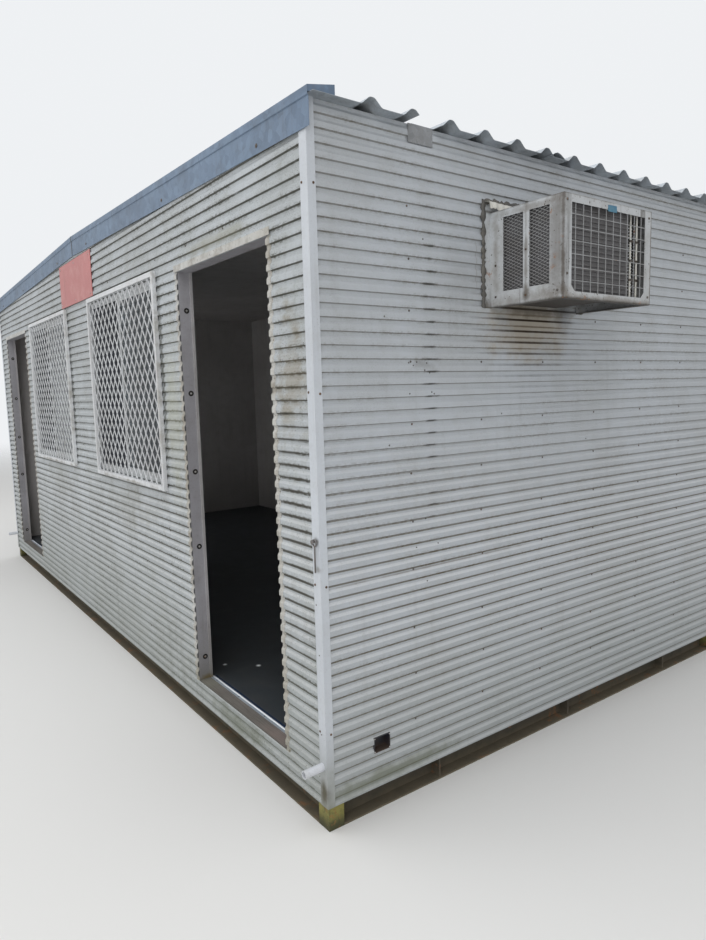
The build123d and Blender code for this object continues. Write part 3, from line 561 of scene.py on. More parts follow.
# Inside: matt lining and ceiling, the lining painted darker towards the floor as shade, dark worn vinyl with
# two pale spots near the door
liningLook = dict(
    base=(0.6, 0.58, 0.57), second=(0.54, 0.52, 0.51), third=(0.44, 0.42, 0.4),
    dust=0.15, mottle=0.35, rough=(0.55, 0.75), streaks=0.2, bump=0.15,
    # painted shade: the lining darker towards the floor
    splashAndShade={"top": 0.9, "foot": 0.2, "ragged": 0.3, "amount": 0.5, "colour": (0.16, 0.145, 0.13)},
)
dress(weathered("wallLining", liningLook), "back_wall", "left_end_wall", "right_end_wall", "ceiling_panel",
      "front_wall_end_piers", "front_wall_over_doors", "front_wall_left_bay", "front_wall_right_bay")
vinylLook = dict(
    base=(0.035, 0.042, 0.048), second=(0.028, 0.033, 0.037), third=(0.06, 0.062, 0.06),
    dust=0.25, mottle=0.4, rough=(0.35, 0.6), bump=0.2, grime=(0.1, 0.095, 0.085),
    specks={"low": 0.4, "amount": 0.5, "scale": 60},
    stainsAndShade=[
        stainAndShade((1.694, -1.298, 0.21), (0.022, 0.022, 0.05), 1.0, (0.82, 0.85, 0.86), ragged=0.2),
        stainAndShade((1.8265, -1.161, 0.21), (0.025, 0.025, 0.05), 1.0, (0.86, 0.89, 0.9), ragged=0.2),
    ],
)
dress(weathered("floorVinyl", vinylLook), "floor_vinyl")

# Doorway parts: grey jambs, worn timber sill, bright threshold strip
jambLook = dict(
    base=(0.34, 0.335, 0.36), second=(0.29, 0.285, 0.305), third=(0.22, 0.21, 0.21),
    dust=0.22, mottle=0.45, rough=(0.42, 0.62), streaks=0.45, bump=0.25,
    splashAndShade={"top": 0.5, "foot": 0.2, "ragged": 0.2, "amount": 0.55, "colour": (0.1, 0.095, 0.07)},
    stainsAndShade=[stainAndShade((1.8, -1.44, 0.212), (0.03, 0.08, 0.036), 0.85, (0.16, 0.125, 0.055))],
)
dress(weathered("jambPaint", jambLook), "door_frames")
sillLook = dict(
    base=(0.17, 0.158, 0.145), second=(0.135, 0.125, 0.112), third=(0.215, 0.195, 0.18),
    dust=0.35, mottle=0.5, rough=(0.6, 0.85), bump=0.5,
    grain=(0.35, 10, 10), grainScale=16, grainColour=(0.08, 0.07, 0.055),
    stainsAndShade=[
        stainAndShade((2.55, -1.46, 0.21), (0.2, 0.08, 0.05), 0.4, (0.27, 0.2, 0.18)),
        stainAndShade((1.86, -1.46, 0.21), (0.16, 0.1, 0.05), 0.6, (0.2, 0.2, 0.16)),
    ],
)
dress(weathered("sillTimber", sillLook), "door_sill_planks")
stripLook = dict(
    base=(0.36, 0.41, 0.47), second=(0.28, 0.32, 0.37), third=(0.5, 0.54, 0.58),
    dust=0.15, mottle=0.4, rough=(0.26, 0.42), metal=0.1, bump=0.12,
    grain=(0.4, 20, 20), grainScale=40, grainColour=(0.22, 0.24, 0.27), grainDepth=0.3,
)
dress(weathered("thresholdAluminium", stripLook), "threshold_strips")

# Chassis, feet and hidden timber
chassisLook = dict(
    base=(0.055, 0.045, 0.032), second=(0.075, 0.062, 0.04), third=(0.035, 0.035, 0.025),
    grime=(0.14, 0.12, 0.085), dust=0.35, mottle=0.6, rough=(0.6, 0.85), bump=0.45,
    rust={"from": 0.56, "amount": 0.5, "scale": 7},
    splashAndShade={"top": 0.03, "foot": 0.0, "ragged": 0.03, "amount": 0.7, "colour": (0.16, 0.135, 0.09)},
)
chassisPaint = weathered("chassisPaint", chassisLook)
dress(chassisPaint, "chassis_side_rails", "chassis_end_rails", "chassis_cross_members")
footLook = dict(
    base=(0.25, 0.225, 0.055), second=(0.15, 0.145, 0.045), third=(0.06, 0.065, 0.025),
    scale=3, dust=0.5, mottle=0.95, rough=(0.6, 0.85), bump=0.5,
    rust={"from": 0.55, "amount": 0.6, "scale": 22},
    splashAndShade={"top": 0.06, "foot": 0.02, "ragged": 0.03, "amount": 0.94, "colour": (0.05, 0.05, 0.025)},
)
dress(weathered("footPaint", footLook), "corner_feet")
deckLook = dict(
    base=(0.4, 0.29, 0.17), second=(0.33, 0.23, 0.13), third=(0.25, 0.17, 0.1),
    rough=(0.65, 0.85), bump=0.3, grain=(0.5, 9, 9), grainScale=12, grainColour=(0.22, 0.14, 0.075),
)
dress(weathered("deckTimber", deckLook), "floor_deck", "roof_purlins")

# Windows and grilles
grilleLook = dict(
    base=(0.68, 0.7, 0.72), second=(0.62, 0.63, 0.645), third=(0.5, 0.5, 0.48),
    dust=0.2, mottle=0.35, rough=(0.36, 0.55), streaks=0.4,
    specks={"low": 0.45, "amount": 0.6}, bump=0.2,
    stainsAndShade=[
        *(stainAndShade((x, -1.51, 1.76), (0.022, 0.05, 1.0), 0.55, (0.2, 0.175, 0.13), ragged=2.2)
          for x in (1.512, -0.304)),
        *(stainAndShade((x, -1.51, 1.188), (1.0, 0.05, 0.018), 0.6, (0.2, 0.175, 0.13), ragged=2.0)
          for x in (0.908, -0.908)),
    ],
)
dress(weathered("grillePaint", grilleLook), "security_grille_left", "security_grille_right")
windowLook = dict(
    base=(0.5, 0.52, 0.53), second=(0.43, 0.44, 0.45), third=(0.3, 0.3, 0.29),
    dust=0.3, mottle=0.5, rough=(0.34, 0.55), metal=0.6, bump=0.2, streaks=0.4,
)
windowAluminium = weathered("windowAluminium", windowLook)
dress(windowAluminium, "window_frame_left", "window_frame_right")


def makeGlass(name, look):
    material = weathered(name, look)
    surface = material.node_tree.nodes["Principled BSDF"]
    feed(look["clear"], surface.inputs["Transmission Weight"])
    feed(look["bend"], surface.inputs["IOR"])
    return material


glassLook = dict(
    base=(0.62, 0.68, 0.72), second=(0.56, 0.63, 0.68), third=(0.5, 0.53, 0.53),
    dust=0.15, mottle=0.4, rough=(0.02, 0.09), dirtRough=0.35, shine=0.1, bump=0.04,
    clear=0.97,
    bend=1.12,    # low, so that the pale sky doesn't whiten panes seen almost edge on
    streaks=0.2, grime=(0.3, 0.3, 0.28),
)
dress(makeGlass("windowGlass", glassLook), "window_glass_left", "window_glass_right")

# Small fittings
signLook = dict(
    base=(0.5, 0.17, 0.165), second=(0.45, 0.155, 0.15), third=(0.56, 0.3, 0.28),
    dust=0.18, mottle=0.5, rough=(0.4, 0.6), streaks=0.3,
    specks={"low": 0.5, "amount": 0.6}, bump=0.15, dents=0.004,
)
dress(weathered("signPaint", signLook), "sign_board")
spoutLook = dict(
    base=(0.66, 0.69, 0.74), second=(0.6, 0.62, 0.66), third=(0.45, 0.45, 0.42),
    dust=0.2, mottle=0.4, rough=(0.3, 0.5), bump=0.2, specks={"low": 0.4, "amount": 0.7},
)
dress(weathered("spoutPaint", spoutLook), "corner_spouts")
steelLook = dict(
    base=(0.34, 0.33, 0.32), second=(0.27, 0.25, 0.235), third=(0.17, 0.12, 0.09),
    scale=6, dust=0.3, mottle=0.7, rough=(0.35, 0.6), metal=0.75, bump=0.4,
    rust={"from": 0.55, "amount": 0.6, "scale": 40},
)
hookLook = dict(steelLook, base=(0.16, 0.158, 0.16), second=(0.1, 0.095, 0.09), metal=0.3,
                rust={"from": 0.62, "amount": 0.6, "scale": 40})
dress(weathered("hookSteel", hookLook), "cabin_hook", "hook_pin")
inletLook = dict(
    base=(0.012, 0.014, 0.022), second=(0.02, 0.022, 0.03), third=(0.05, 0.03, 0.02),
    scale=4, dust=0.3, mottle=0.5, rough=(0.35, 0.6), bump=0.3, grime=(0.12, 0.09, 0.06),
    splashAndShade={"top": 0.262, "foot": 0.246, "ragged": 0.01, "amount": 0.8, "colour": (0.085, 0.055, 0.038)},
)
dress(weathered("inletPlastic", inletLook), "power_inlet")
print("every CAD piece has its surface")

# Surfaces that several of the added pieces share
screwLook = dict(steelLook, base=(0.16, 0.15, 0.14), second=(0.1, 0.085, 0.07), third=(0.06, 0.045, 0.035))
screwSteel = weathered("screwSteel", screwLook)
paleScrew = weathered("paleScrew", dict(steelLook, base=(0.5, 0.5, 0.5), second=(0.42, 0.41, 0.4)))
sealantLook = dict(
    base=(0.085, 0.082, 0.078), second=(0.12, 0.113, 0.1), third=(0.045, 0.041, 0.036),
    scale=4, dust=0.3, mottle=0.6, rough=(0.5, 0.8), bump=0.6,
)
sealant = weathered("sealant", sealantLook)

ends = ((-1, "left"), (1, "right"))
fronts = ((-1, "front"), (1, "back"))

# Screws in the valleys of the cladding: rows at the studs, missed here and there
claddingScrews = dict(
    valleys=(4, 8, 12, 17, 21, 25, 29, 34, 38, 42, 46),   # counted from the foot of the wall
    firstStud=0.458,
    studs=0.405,
    cornerGap=0.1,
    size=(0.0045, 0.0028),
    missing={"end": 0.08, "long": 0.6},
    wander=0.006,
    longGaps=(                       # where none stand: distance from the middle, and height
        ((1.74, 2.75), (0.0, 2.35)),    # doorways
        ((0.26, 1.56), (1.15, 2.36)),   # windows
        ((0.0, 0.42), (2.3, 3.0)),      # sign
    ),
    cageGap=((-0.66, 0.1), (1.95, 2.5)),
)


def skinDepth(z):
    # how far the ribbed face lies behind the crests of its ribs at a height
    within = (z - cabin["claddingBottom"]) % cabin["ribPitch"]
    ledge, undercut = cabin["ledgePhase"] * cabin["ribPitch"], cabin["undercutPhase"] * cabin["ribPitch"]
    back = (within - ledge) / cabin["ledgeTall"] + 0.5
    forward = (undercut - within) / cabin["undercutTall"] + 0.5
    return cabin["ribDepth"] * max(0, min(1, back, forward))


def inside(place, region):
    return all(low < value < high for value, (low, high) in zip(place, region))


def screwGrid(screws, reach, missing):
    # places along a wall and up it
    places = []
    along = -reach + screws["firstStud"]
    while along < reach - screws["cornerGap"]:
        for valley in screws["valleys"]:
            z = cabin["claddingBottom"] + (valley + 0.5) * cabin["ribPitch"]
            if random.random() > missing:
                places.append((along + random.uniform(-1, 1) * screws["wander"], z))
        along += screws["studs"]
    return places


def endWallScrews(screws, side):
    grid = screwGrid(screws, cabin["halfWidth"], screws["missing"]["end"])
    return [(side * (cabin["endCrest"] - skinDepth(z)), y, z) for y, z in grid
            if side < 0 or not inside((y, z), screws["cageGap"])]


def longWallScrews(screws, side):
    grid = screwGrid(screws, cabin["halfLength"], screws["missing"]["long"])
    return [(x, side * (cabin["crest"] - skinDepth(z)), z) for x, z in grid
            if side > 0 or not any(inside((abs(x), z), gap) for gap in screws["longGaps"])]


for side, word in ends:
    places = endWallScrews(claddingScrews, side)
    addScrews(word + "WallScrews", places, (side, 0, 0), claddingScrews, screwSteel)
for side, word in fronts:
    places = longWallScrews(claddingScrews, side)
    addScrews(word + "WallScrews", places, (0, side, 0), claddingScrews, screwSteel)

# Odd holes in the right end wall, stopped with sealant
blindHoles = dict(
    places=(   # y and z
        (-1.025, 1.05), (-0.905, 1.05), (-0.97, 2.275), (-0.97, 1.163), (-0.97, 0.9), (-1.172, 1.97),
        (-0.517, 1.575), (0.1, 1.425), (-1.16, 1.478), (-1.048, 1.797), (-1.029, 1.785), (-1.006, 1.799),
        (-0.97, 1.767), (-0.953, 1.795), (-0.937, 1.757), (-0.933, 1.679), (-0.92, 1.672), (-1.051, 1.675),
    ),
    size=(0.0036, 0.0012),
)
places = [(cabin["endCrest"] - skinDepth(z), y, z) for y, z in blindHoles["places"]]
addScrews("blindHoles", places, (1, 0, 0), blindHoles, sealant)

# Screws down both legs of every corner cover, and a few small rivets
coverScrews = dict(
    heights=(0.4, 0.976, 1.688, 2.415),
    frontInset=0.038,
    endInset=0.024,
    stagger=0.003,      # one leg's screws sit a little higher than the other's
    size=(0.0048, 0.003),
)
coverRivets = dict(
    places=((2.965, 0.902), (2.975, 0.708), (2.972, 0.393)),   # x and z
    size=(0.0028, 0.0018),
)
rustyScrew = weathered("rustyScrew", dict(screwLook, base=(0.17, 0.12, 0.085), second=(0.11, 0.07, 0.045),
                                          rust={"from": 0.55, "amount": 0.6, "scale": 60}))
outwards = dict(front=(0, -1, 0), back=(0, 1, 0), right=(1, 0, 0), left=(-1, 0, 0))
places = {word: [] for word in outwards}
for z in coverScrews["heights"]:
    for x, xWord in ends:
        for y, yWord in fronts:
            frontX = x * (cabin["halfLength"] - coverScrews["frontInset"])
            endY = y * (cabin["halfWidth"] - coverScrews["endInset"])
            places[yWord].append((frontX, y * cabin["halfWidth"], z + coverScrews["stagger"]))
            places[xWord].append((x * cabin["halfLength"], endY, z - coverScrews["stagger"]))
for word, outward in outwards.items():
    addScrews(word + "CoverScrews", places[word], outward, coverScrews, rustyScrew)
rivets = [(x, -cabin["halfWidth"], z) for x, z in coverRivets["places"]]
addScrews("coverRivets", rivets, outwards["front"], coverRivets, screwSteel)

# Screws along the fascias, and the sealed joint where their two halves meet
fasciaScrews = dict(
    at=(-2.66, -1.68, -0.427, 0.344, 1.68, 2.66),
    drop=0.078,
    proud=0.0052,
    size=(0.006, 0.004),
    washer=0.009,
)
fasciaJoint = dict(
    profile=((0.0092, 0.0225), (0.0092, -0.008), (0.0052, -0.012), (0.0052, -0.107)),   # out and up
    radius=0.0028,
)


def underRoof(x):
    return cabin["wallTop"] + cabin["ridgeRise"] * (1 - abs(x) / cabin["halfLength"])


for side, word in fronts:
    face = side * (cabin["halfWidth"] + fasciaScrews["proud"])
    places = [(x, face, underRoof(x) - fasciaScrews["drop"]) for x in fasciaScrews["at"]]
    addScrews(word + "FasciaScrews", places, (0, side, 0), fasciaScrews, screwSteel)
    path = [(0, side * (cabin["halfWidth"] + out), underRoof(0) + up) for out, up in fasciaJoint["profile"]]
    addBead(word + "FasciaJoint", path, fasciaJoint["radius"], sealant)

# Roof screws with washers, on the ribs over each purlin
roofScrews = dict(
    firstRib=0.2525, ribPitch=0.1945, ribTop=0.0312, edgeGap=0.1,
    firstPurlin=0.5, purlinPitch=0.8, purlins=4,
    size=(0.0065, 0.006), washer=0.009,
)
places = {-1: [], 1: []}
rib = -cabin["halfWidth"] + roofScrews["firstRib"]
while rib < cabin["halfWidth"] - roofScrews["edgeGap"]:
    for step in range(roofScrews["purlins"]):
        x = roofScrews["firstPurlin"] + step * roofScrews["purlinPitch"]
        for side in (-1, 1):
            places[side].append((side * x, rib, underRoof(x) + roofScrews["ribTop"]))
    rib += roofScrews["ribPitch"]
slope = cabin["ridgeRise"] / cabin["halfLength"]
for side, word in ends:
    outward = Vector((side * slope, 0, 1)).normalized()
    addScrews(word + "RoofScrews", places[side], outward, roofScrews, screwSteel)

# Edge of a roof sheet that has lifted at its lap, over the end wall
lapEdge = dict(
    y=-0.2,
    x=(3.05, 2.3),
    steps=6,
    above=0.0014,
    thick=0.0012,
    profile=((-0.05, 0.0), (-0.024, 0.016), (-0.004, 0.022), (0.016, 0.017), (0.05, 0.0)),   # across and up
    settle=1.5,      # how fast the lift dies away along the sheet
)


def addLapEdge(lap):
    points, faces = [], []
    row = 2 * len(lap["profile"])
    for step in range(lap["steps"] + 1):
        part = step / lap["steps"]
        x = lap["x"][0] + (lap["x"][1] - lap["x"][0]) * part
        for across, lift in lap["profile"]:
            z = underRoof(x) + lap["above"] + lift * (1 - part) ** lap["settle"]
            points += [(x, lap["y"] + across, z), (x, lap["y"] + across, z + lap["thick"])]
    for step in range(lap["steps"]):
        a, b = step * row, (step + 1) * row - 2
        for under in range(a, b, 2):
            faces += [(under, under + 2, under + 2 + row, under + row),
                      (under + 1, under + 1 + row, under + 3 + row, under + 3)]
        faces += [(a, a + row, a + row + 1, a + 1), (b, b + 1, b + row + 1, b + row)]
    last = lap["steps"] * row
    for a in range(0, row - 2, 2):
        faces += [(a, a + 1, a + 3, a + 2), (last + a, last + a + 2, last + a + 3, last + a + 1)]
    addPiece("roofLapEdge", points, faces, roofZinc)


addLapEdge(lapEdge)

# Expanded metal in the cage's side openings; the far side's strands are thicker and painted near black, as
# painted shade inside the cage
sideMesh = dict(
    openings=((3.0708, 3.1758), (3.2068, 3.3058)),
    z=(2.09, 2.389),
    lap=0.004,
    rows=44,
    columns=4,
    strand=((-0.7, -0.5), (0.7, -0.1), (0.7, 0.5), (-0.7, 0.1)),   # its section, out and up
    sides=(("Front", -0.584, 0.0022, strandPaint), ("Back", 0.006, 0.0086, shadedStrand)),   # y, thickness
)


def expandedMesh(name, opening, metal, y, thick, material):
    # rows of diamonds: each strand is a slanted flat bar, turned so that its edge catches the light
    points, faces = [], []
    left, low = opening[0] - metal["lap"], metal["z"][0] - metal["lap"]
    wide = (opening[1] - opening[0] + 2 * metal["lap"]) / metal["columns"] / 2
    tall = (metal["z"][1] - metal["z"][0] + 2 * metal["lap"]) / metal["rows"]
    for row in range(metal["rows"]):
        for column in range(metal["columns"] * 2):
            rising = (row + column) % 2
            tips = ((left + column * wide, low + (row + 1 - rising) * tall),
                    (left + (column + 1) * wide, low + (row + rising) * tall))
            start = len(points)
            for x, z in tips:
                points += [(x, y + thick * out, z + thick * up) for out, up in metal["strand"]]
            bridge(faces, start, 4, 2)
            faces += [(start + 3, start + 2, start + 1, start), (start + 4, start + 5, start + 6, start + 7)]
    addPiece(name, points, faces, material)


for number, opening in enumerate(sideMesh["openings"]):
    for word, y, thick, paint in sideMesh["sides"]:
        expandedMesh("cageSideMesh%s%d" % (word, number + 1), opening, sideMesh, y, thick, paint)

# Ties on the cage's rods, bolts on its front and near side, and a blank tag
cageFittings = dict(
    front=3.3738,
    side=-0.588,
    ties={"x": (3.3448, 3.3528), "y": (-0.113, -0.051), "heights": (2.13, 2.21, 2.29), "halfTall": 0.004},
    tag={"y": (-0.306, -0.25), "z": (2.383, 2.407), "sunk": 0.001, "proud": 0.003},
    bent=0.0012,      # how far a corner of a tie or the tag may be out
)
frontBolts = dict(
    at=((-0.57, 2.395), (-0.568, 2.12), (-0.01, 2.39), (-0.01, 2.06)),   # y and z
    size=(0.0055, 0.004),
    sides=6,
)
sideBolts = dict(
    at=((3.03, 2.07), (3.03, 2.2), (3.19, 2.06), (3.345, 2.06), (3.19, 2.24)),   # x and z
    size=(0.005, 0.004),
    sides=6,
)
tagLook = dict(
    base=(0.03, 0.14, 0.24), second=(0.05, 0.2, 0.3), third=(0.1, 0.2, 0.25),
    scale=5, dust=0.25, mottle=0.5, rough=(0.35, 0.55), bump=0.2,
)
tie, tag, front = cageFittings["ties"], cageFittings["tag"], cageFittings["front"]
ties = [((tie["x"][0], tie["y"][0], z - tie["halfTall"]), (tie["x"][1], tie["y"][1], z + tie["halfTall"]))
        for z in tie["heights"]]
addBoxes("cageRodTies", ties, screwSteel, cageFittings["bent"])
places = [(front, y, z) for y, z in frontBolts["at"]]
addScrews("cageFrontBolts", places, (1, 0, 0), frontBolts, screwSteel)
places = [(x, cageFittings["side"], z) for x, z in sideBolts["at"]]
addScrews("cageSideBolts", places, (0, -1, 0), sideBolts, screwSteel)
tagBox = ((front - tag["sunk"], tag["y"][0], tag["z"][0]), (front + tag["proud"], tag["y"][1], tag["z"][1]))
addBoxes("cageTag", [tagBox], weathered("tagPaint", tagLook), cageFittings["bent"])

# Sealant round the cage's wall flange
flangeSealant = dict(
    x=3.001,
    y=(-0.63, 0.052),
    z=(2.03, 2.466),
    turn=0.01,           # how far the bead cuts a corner
    points=(46, 60),     # up each side, and across the top
    waver=0.002,
    radius=0.0115,
    wobble=0.55,
    squash=(0.5, 1, 1),
)


def flangePath(bead):
    x, (near, far), (foot, top) = bead["x"], bead["y"], bead["z"]
    upright, level = bead["points"]
    path = between((x, near, foot), (x, near, top), upright, bead["waver"])
    path += between((x, near + bead["turn"], top), (x, far, top), level, bead["waver"])
    path += between((x, far, top - bead["turn"]), (x, far, foot), upright, bead["waver"])
    return path


addBead("cageSealant", flangePath(flangeSealant), flangeSealant["radius"], sealant,
        wobble=flangeSealant["wobble"], squash=flangeSealant["squash"])

# Bent flashing over the near top corner of the flange
flashing = dict(
    y=(-0.628, -0.4),
    x=(3.002, 3.008, 3.012),     # at the wall, at the fold and at the free edge
    z=2.462,
    fold=0.004,
    drop=0.03,
    lift=0.02,
    ragged=0.006,
    waver=0.002,
    thick=0.0012,
    steps=16,
)


def addFlashing(sheet):
    points, faces = [], []
    for step in range(sheet["steps"] + 1):
        part = step / sheet["steps"]
        y = sheet["y"][0] + (sheet["y"][1] - sheet["y"][0]) * part
        lift = sheet["lift"] * (1 - part) ** 2 + random.uniform(0, sheet["ragged"])
        for thick in (0.0, sheet["thick"]):
            wall, fold, edge = (x + thick for x in sheet["x"])
            z = sheet["z"] + thick
            foldY = y + random.uniform(-1, 1) * sheet["waver"]
            edgeZ = z - sheet["drop"] + random.uniform(-1, 1) * sheet["ragged"]
            points += [(wall, y, z), (fold + lift, foldY, z - sheet["fold"]), (edge + lift, y, edgeZ)]
    for step in range(sheet["steps"]):
        a = step * 6
        faces += [(a, a + 6, a + 7, a + 1), (a + 1, a + 7, a + 8, a + 2), (a + 3, a + 4, a + 10, a + 9),
                  (a + 4, a + 5, a + 11, a + 10), (a + 2, a + 8, a + 11, a + 5), (a, a + 3, a + 9, a + 6)]
    addPiece("cageFlashing", points, faces, rodPaint)


addFlashing(flashing)

# Louvres on the air conditioner's outer face
louvres = dict(
    x=(3.3488, 3.3558),
    y=(-0.544, -0.144),
    z=(2.071, 2.376),      # lowest and highest
    count=17,
    below=0.0035,
    above=0.0015,
    bent=0.0006,
)
boxes = []
for step in range(louvres["count"]):
    z = louvres["z"][0] + step * (louvres["z"][1] - louvres["z"][0]) / (louvres["count"] - 1)
    boxes.append(((louvres["x"][0], louvres["y"][0], z - louvres["below"]),
                  (louvres["x"][1], louvres["y"][1], z + louvres["above"])))
addBoxes("unitLouvres", boxes, unitCasing, louvres["bent"])

# Doorway fixings with their washers, and stops, on both jambs
jamb = dict(
    x=(1.799, 2.689),      # faces of a doorway, from the middle of the cabin
    y=-1.455,
    heights=(0.33, 0.918, 1.305, 1.7, 2.106),
    washer={"size": (0.014, 0.0014), "sides": 18},
    fixing={"size": (0.005, 0.0035), "sides": 12},
    fixingLift=0.0012,
    stopY=(-1.4335, -1.421),
    stopZ=(0.2105, 2.2895),
    stopProud=0.008,
)
washerLook = dict(screwLook, base=(0.02, 0.02, 0.02), second=(0.015, 0.014, 0.014),
                  third=(0.03, 0.026, 0.022), metal=0.0, shine=0.2,
                  rust={"from": 0.75, "amount": 0.3, "scale": 40})
darkWasher = weathered("darkWasher", washerLook)
# the stops a lighter copy of the jamb paint: painted highlight along the doorway's inner edge
stopHighlightPaint = weathered("stopHighlightPaint", dict(jambLook, base=(0.42, 0.41, 0.42), second=(0.36, 0.35, 0.35)))
stopY, stopZ = jamb["stopY"], jamb["stopZ"]
fixings, stops = {1: [], -1: []}, []      # fixings by the way they face
for end in (-1, 1):
    for z in jamb["heights"]:
        for x, facing in zip(jamb["x"], (1, -1)):
            fixings[end * facing].append((end * x, jamb["y"], z))
    for x, facing in zip(jamb["x"], (1, -1)):
        low, high = sorted((end * x, end * (x + facing * jamb["stopProud"])))
        stops.append(((low, stopY[0], stopZ[0]), (high, stopY[1], stopZ[1])))
for word, facing in (("Left", 1), ("Right", -1)):
    outward = (facing, 0, 0)
    raised = [(x + facing * jamb["fixingLift"], y, z) for x, y, z in fixings[facing]]
    addScrews("jambWashers" + word, fixings[facing], outward, jamb["washer"], darkWasher)
    addScrews("jambFixings" + word, raised, outward, jamb["fixing"], paleScrew)
addBoxes("jambStops", stops, stopHighlightPaint)

# Dark nosing behind each threshold strip, the strip's rounded edge painted near white as a highlight, and its
# screws
threshold = dict(
    middle=2.244,
    nosing={"half": 0.445, "y": (-1.409, -1.396), "z": (0.2098, 0.2122)},
    edge={"half": 0.444, "y": -1.4155, "z": 0.2125, "radius": 0.0045, "points": 24, "waver": 0.0004},
    screws={"at": (-0.38, -0.13, 0.13, 0.38), "y": -1.425, "z": 0.213, "size": (0.004, 0.0015)},
)
meshScreenLook = dict(
    base=(0.028, 0.033, 0.042), second=(0.022, 0.026, 0.033), third=(0.045, 0.047, 0.05),
    dust=0.2, mottle=0.5, rough=(0.75, 0.92), bump=0.2, shine=0.12,
)
nosingLook = dict(meshScreenLook, base=(0.02, 0.035, 0.075), second=(0.015, 0.025, 0.05),
                  third=(0.05, 0.055, 0.07))
# painted highlight: the strip's rounded edge, a near white copy of the strip's look
edgeHighlightLook = dict(stripLook, base=(0.9, 0.94, 0.98), second=(0.82, 0.86, 0.9), grainDepth=0.1)
highlightEdge = weathered("highlightEdge", edgeHighlightLook)
middles = [end * threshold["middle"] for end in (-1, 1)]
nosing, edge, strip = threshold["nosing"], threshold["edge"], threshold["screws"]
boxes = [((middle - nosing["half"], nosing["y"][0], nosing["z"][0]),
          (middle + nosing["half"], nosing["y"][1], nosing["z"][1])) for middle in middles]
addBoxes("thresholdNosing", boxes, weathered("nosing", nosingLook))
for middle, word in zip(middles, ("Left", "Right")):
    start, end = ((middle + half, edge["y"], edge["z"]) for half in (-edge["half"], edge["half"]))
    path = between(start, end, edge["points"], edge["waver"])
    addBead("thresholdEdge" + word, path, edge["radius"], highlightEdge)
places = [(middle + offset, strip["y"], strip["z"]) for middle in middles for offset in strip["at"]]
addScrews("thresholdScrews", places, (0, 0, 1), strip, screwSteel)

# Fly screens in their frames, behind the left half of each grille
flyScreens = dict(
    windows=(-0.908, 0.908),     # middles of the windows
    x=(-0.573, -0.042),          # from the middle of a window
    z=(1.239, 2.28),
    meshY=(-1.4905, -1.4899),
    frameY=(-1.4935, -1.488),
    frameWide=0.012,
)
meshes, frames = [], []
foot, top = flyScreens["z"]
meshNear, meshFar = flyScreens["meshY"]
near, far = flyScreens["frameY"]
wide = flyScreens["frameWide"]
for middle in flyScreens["windows"]:
    low, high = (middle + x for x in flyScreens["x"])
    meshes.append(((low, meshNear, foot), (high, meshFar, top)))
    frames += [((x, near, foot), (x + wide, far, top)) for x in (low, high - wide)]
    frames += [((low, near, z), (high, far, z + wide)) for z in (foot, top - wide)]
addBoxes("flyScreenFrames", frames, windowAluminium)
addBoxes("flyScreens", meshes, weathered("flyScreen", meshScreenLook))

# Sign fixings and inlet screws
signScrews = dict(x=(-0.36, 0, 0.36), z=(2.372, 2.622), y=-1.5028, size=(0.005, 0.003))
inletScrews = dict(y=(-1.2665, -1.1915), z=(0.251, 0.306), size=(0.0028, 0.002))
places = [(x, signScrews["y"], z) for x in signScrews["x"] for z in signScrews["z"]]
addScrews("signScrews", places, (0, -1, 0), signScrews, paleScrew)
places = [(cabin["endCrest"], y, z) for y in inletScrews["y"] for z in inletScrews["z"]]
addScrews("inletScrews", places, (1, 0, 0), inletScrews, paleScrew)
print("added pieces are in place")

# Stage: a pale floor that fades into a pale sky, and soft lamps
stageSettings = dict(
    floorColour=(0.78, 0.78, 0.77, 1),
    floorRough=0.9,
    skyColour=(0.86, 0.88, 0.9, 1),
    skyLight=0.5,
    floorReach=60,
    fadeFrom=7.0,
    fadeTo=26.0,
    lampsAim=(0, 0, 1),
)
lampSettings = [
    # name, place, size, watts
    ("topLamp", (2.0, -2.5, 10.0), 8.0, 420),
    ("keyLamp", (9.0, -7.0, 8.0), 6.0, 260),
    ("fillLamp", (-6.0, -9.0, 6.0), 7.0, 160),
    ("backLamp", (-4.0, 9.0, 9.0), 7.0, 220),
    ("lowLamp", (6.5, -6.5, 1.0), 3.0, 60),
]


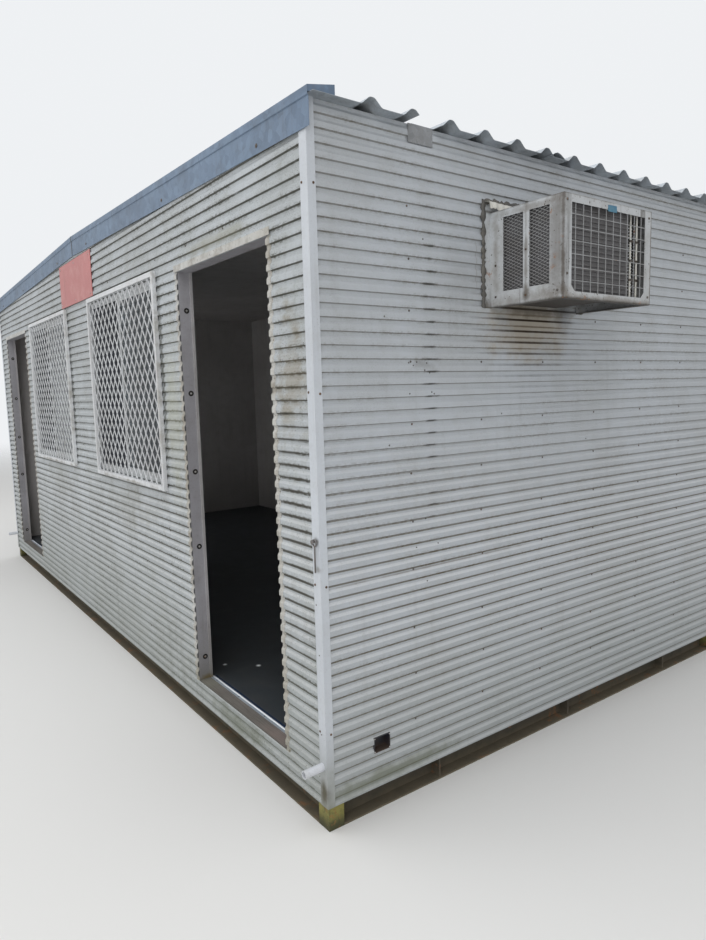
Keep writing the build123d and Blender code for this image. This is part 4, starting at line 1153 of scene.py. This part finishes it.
def makeFloor(stage):
    reach = stage["floorReach"]
    corners = [(-reach, -reach, 0), (reach, -reach, 0), (reach, reach, 0), (-reach, reach, 0)]
    mesh = bpy.data.meshes.new("stageFloor")
    mesh.from_pydata(corners, [], [(0, 1, 2, 3)])
    floor = addObject("stageFloor", mesh)
    material, tree, surface = newMaterial("stageFloor")
    feed(stage["floorColour"], surface.inputs["Base Color"])
    feed(stage["floorRough"], surface.inputs["Roughness"])
    place = addNode(tree, "TexCoord").outputs["Object"]
    away = addNode(tree, "VectorMath", {0: place}, operation="LENGTH").outputs["Value"]
    gone = fade(away, stage["fadeFrom"], stage["fadeTo"])
    clear = addNode(tree, "BsdfTransparent").outputs[0]
    mix = addNode(tree, "MixShader", {0: gone, 1: surface.outputs[0], 2: clear})
    feed(mix.outputs[0], tree.nodes["Material Output"].inputs["Surface"])
    mesh.materials.append(material)


def makeSky(stage):
    # the pale colour where the camera, gloss or glass sees it, and a softer white as light
    world = bpy.data.worlds.new("studio")
    bpy.context.scene.world = world
    world.use_nodes = True
    tree = world.node_tree
    tree.nodes.clear()
    seen = addNode(tree, "Background", {0: stage["skyColour"], 1: 1.0})
    light = addNode(tree, "Background", {0: (1, 1, 1, 1), 1: stage["skyLight"]})
    path = addNode(tree, "LightPath").outputs
    bounced = calc("MAXIMUM", path["Is Glossy Ray"], path["Is Transmission Ray"])
    direct = calc("MAXIMUM", path["Is Camera Ray"], bounced)
    mix = addNode(tree, "MixShader", {0: direct, 1: light.outputs[0], 2: seen.outputs[0]})
    addNode(tree, "OutputWorld", {0: mix.outputs[0]})


def makeLamps(stage, lamps):
    for name, place, size, watts in lamps:
        data = bpy.data.lights.new(name, "AREA")
        data.size = size
        data.energy = watts
        lamp = addObject(name, data)
        lamp.location = place
        towards = Vector(stage["lampsAim"]) - Vector(place)
        lamp.rotation_euler = towards.to_track_quat("-Z", "Y").to_euler()


makeFloor(stageSettings)
makeSky(stageSettings)
makeLamps(stageSettings, lampSettings)
bpy.context.scene.view_settings.view_transform = "Standard"
print("camera, floor and lamps are in place")
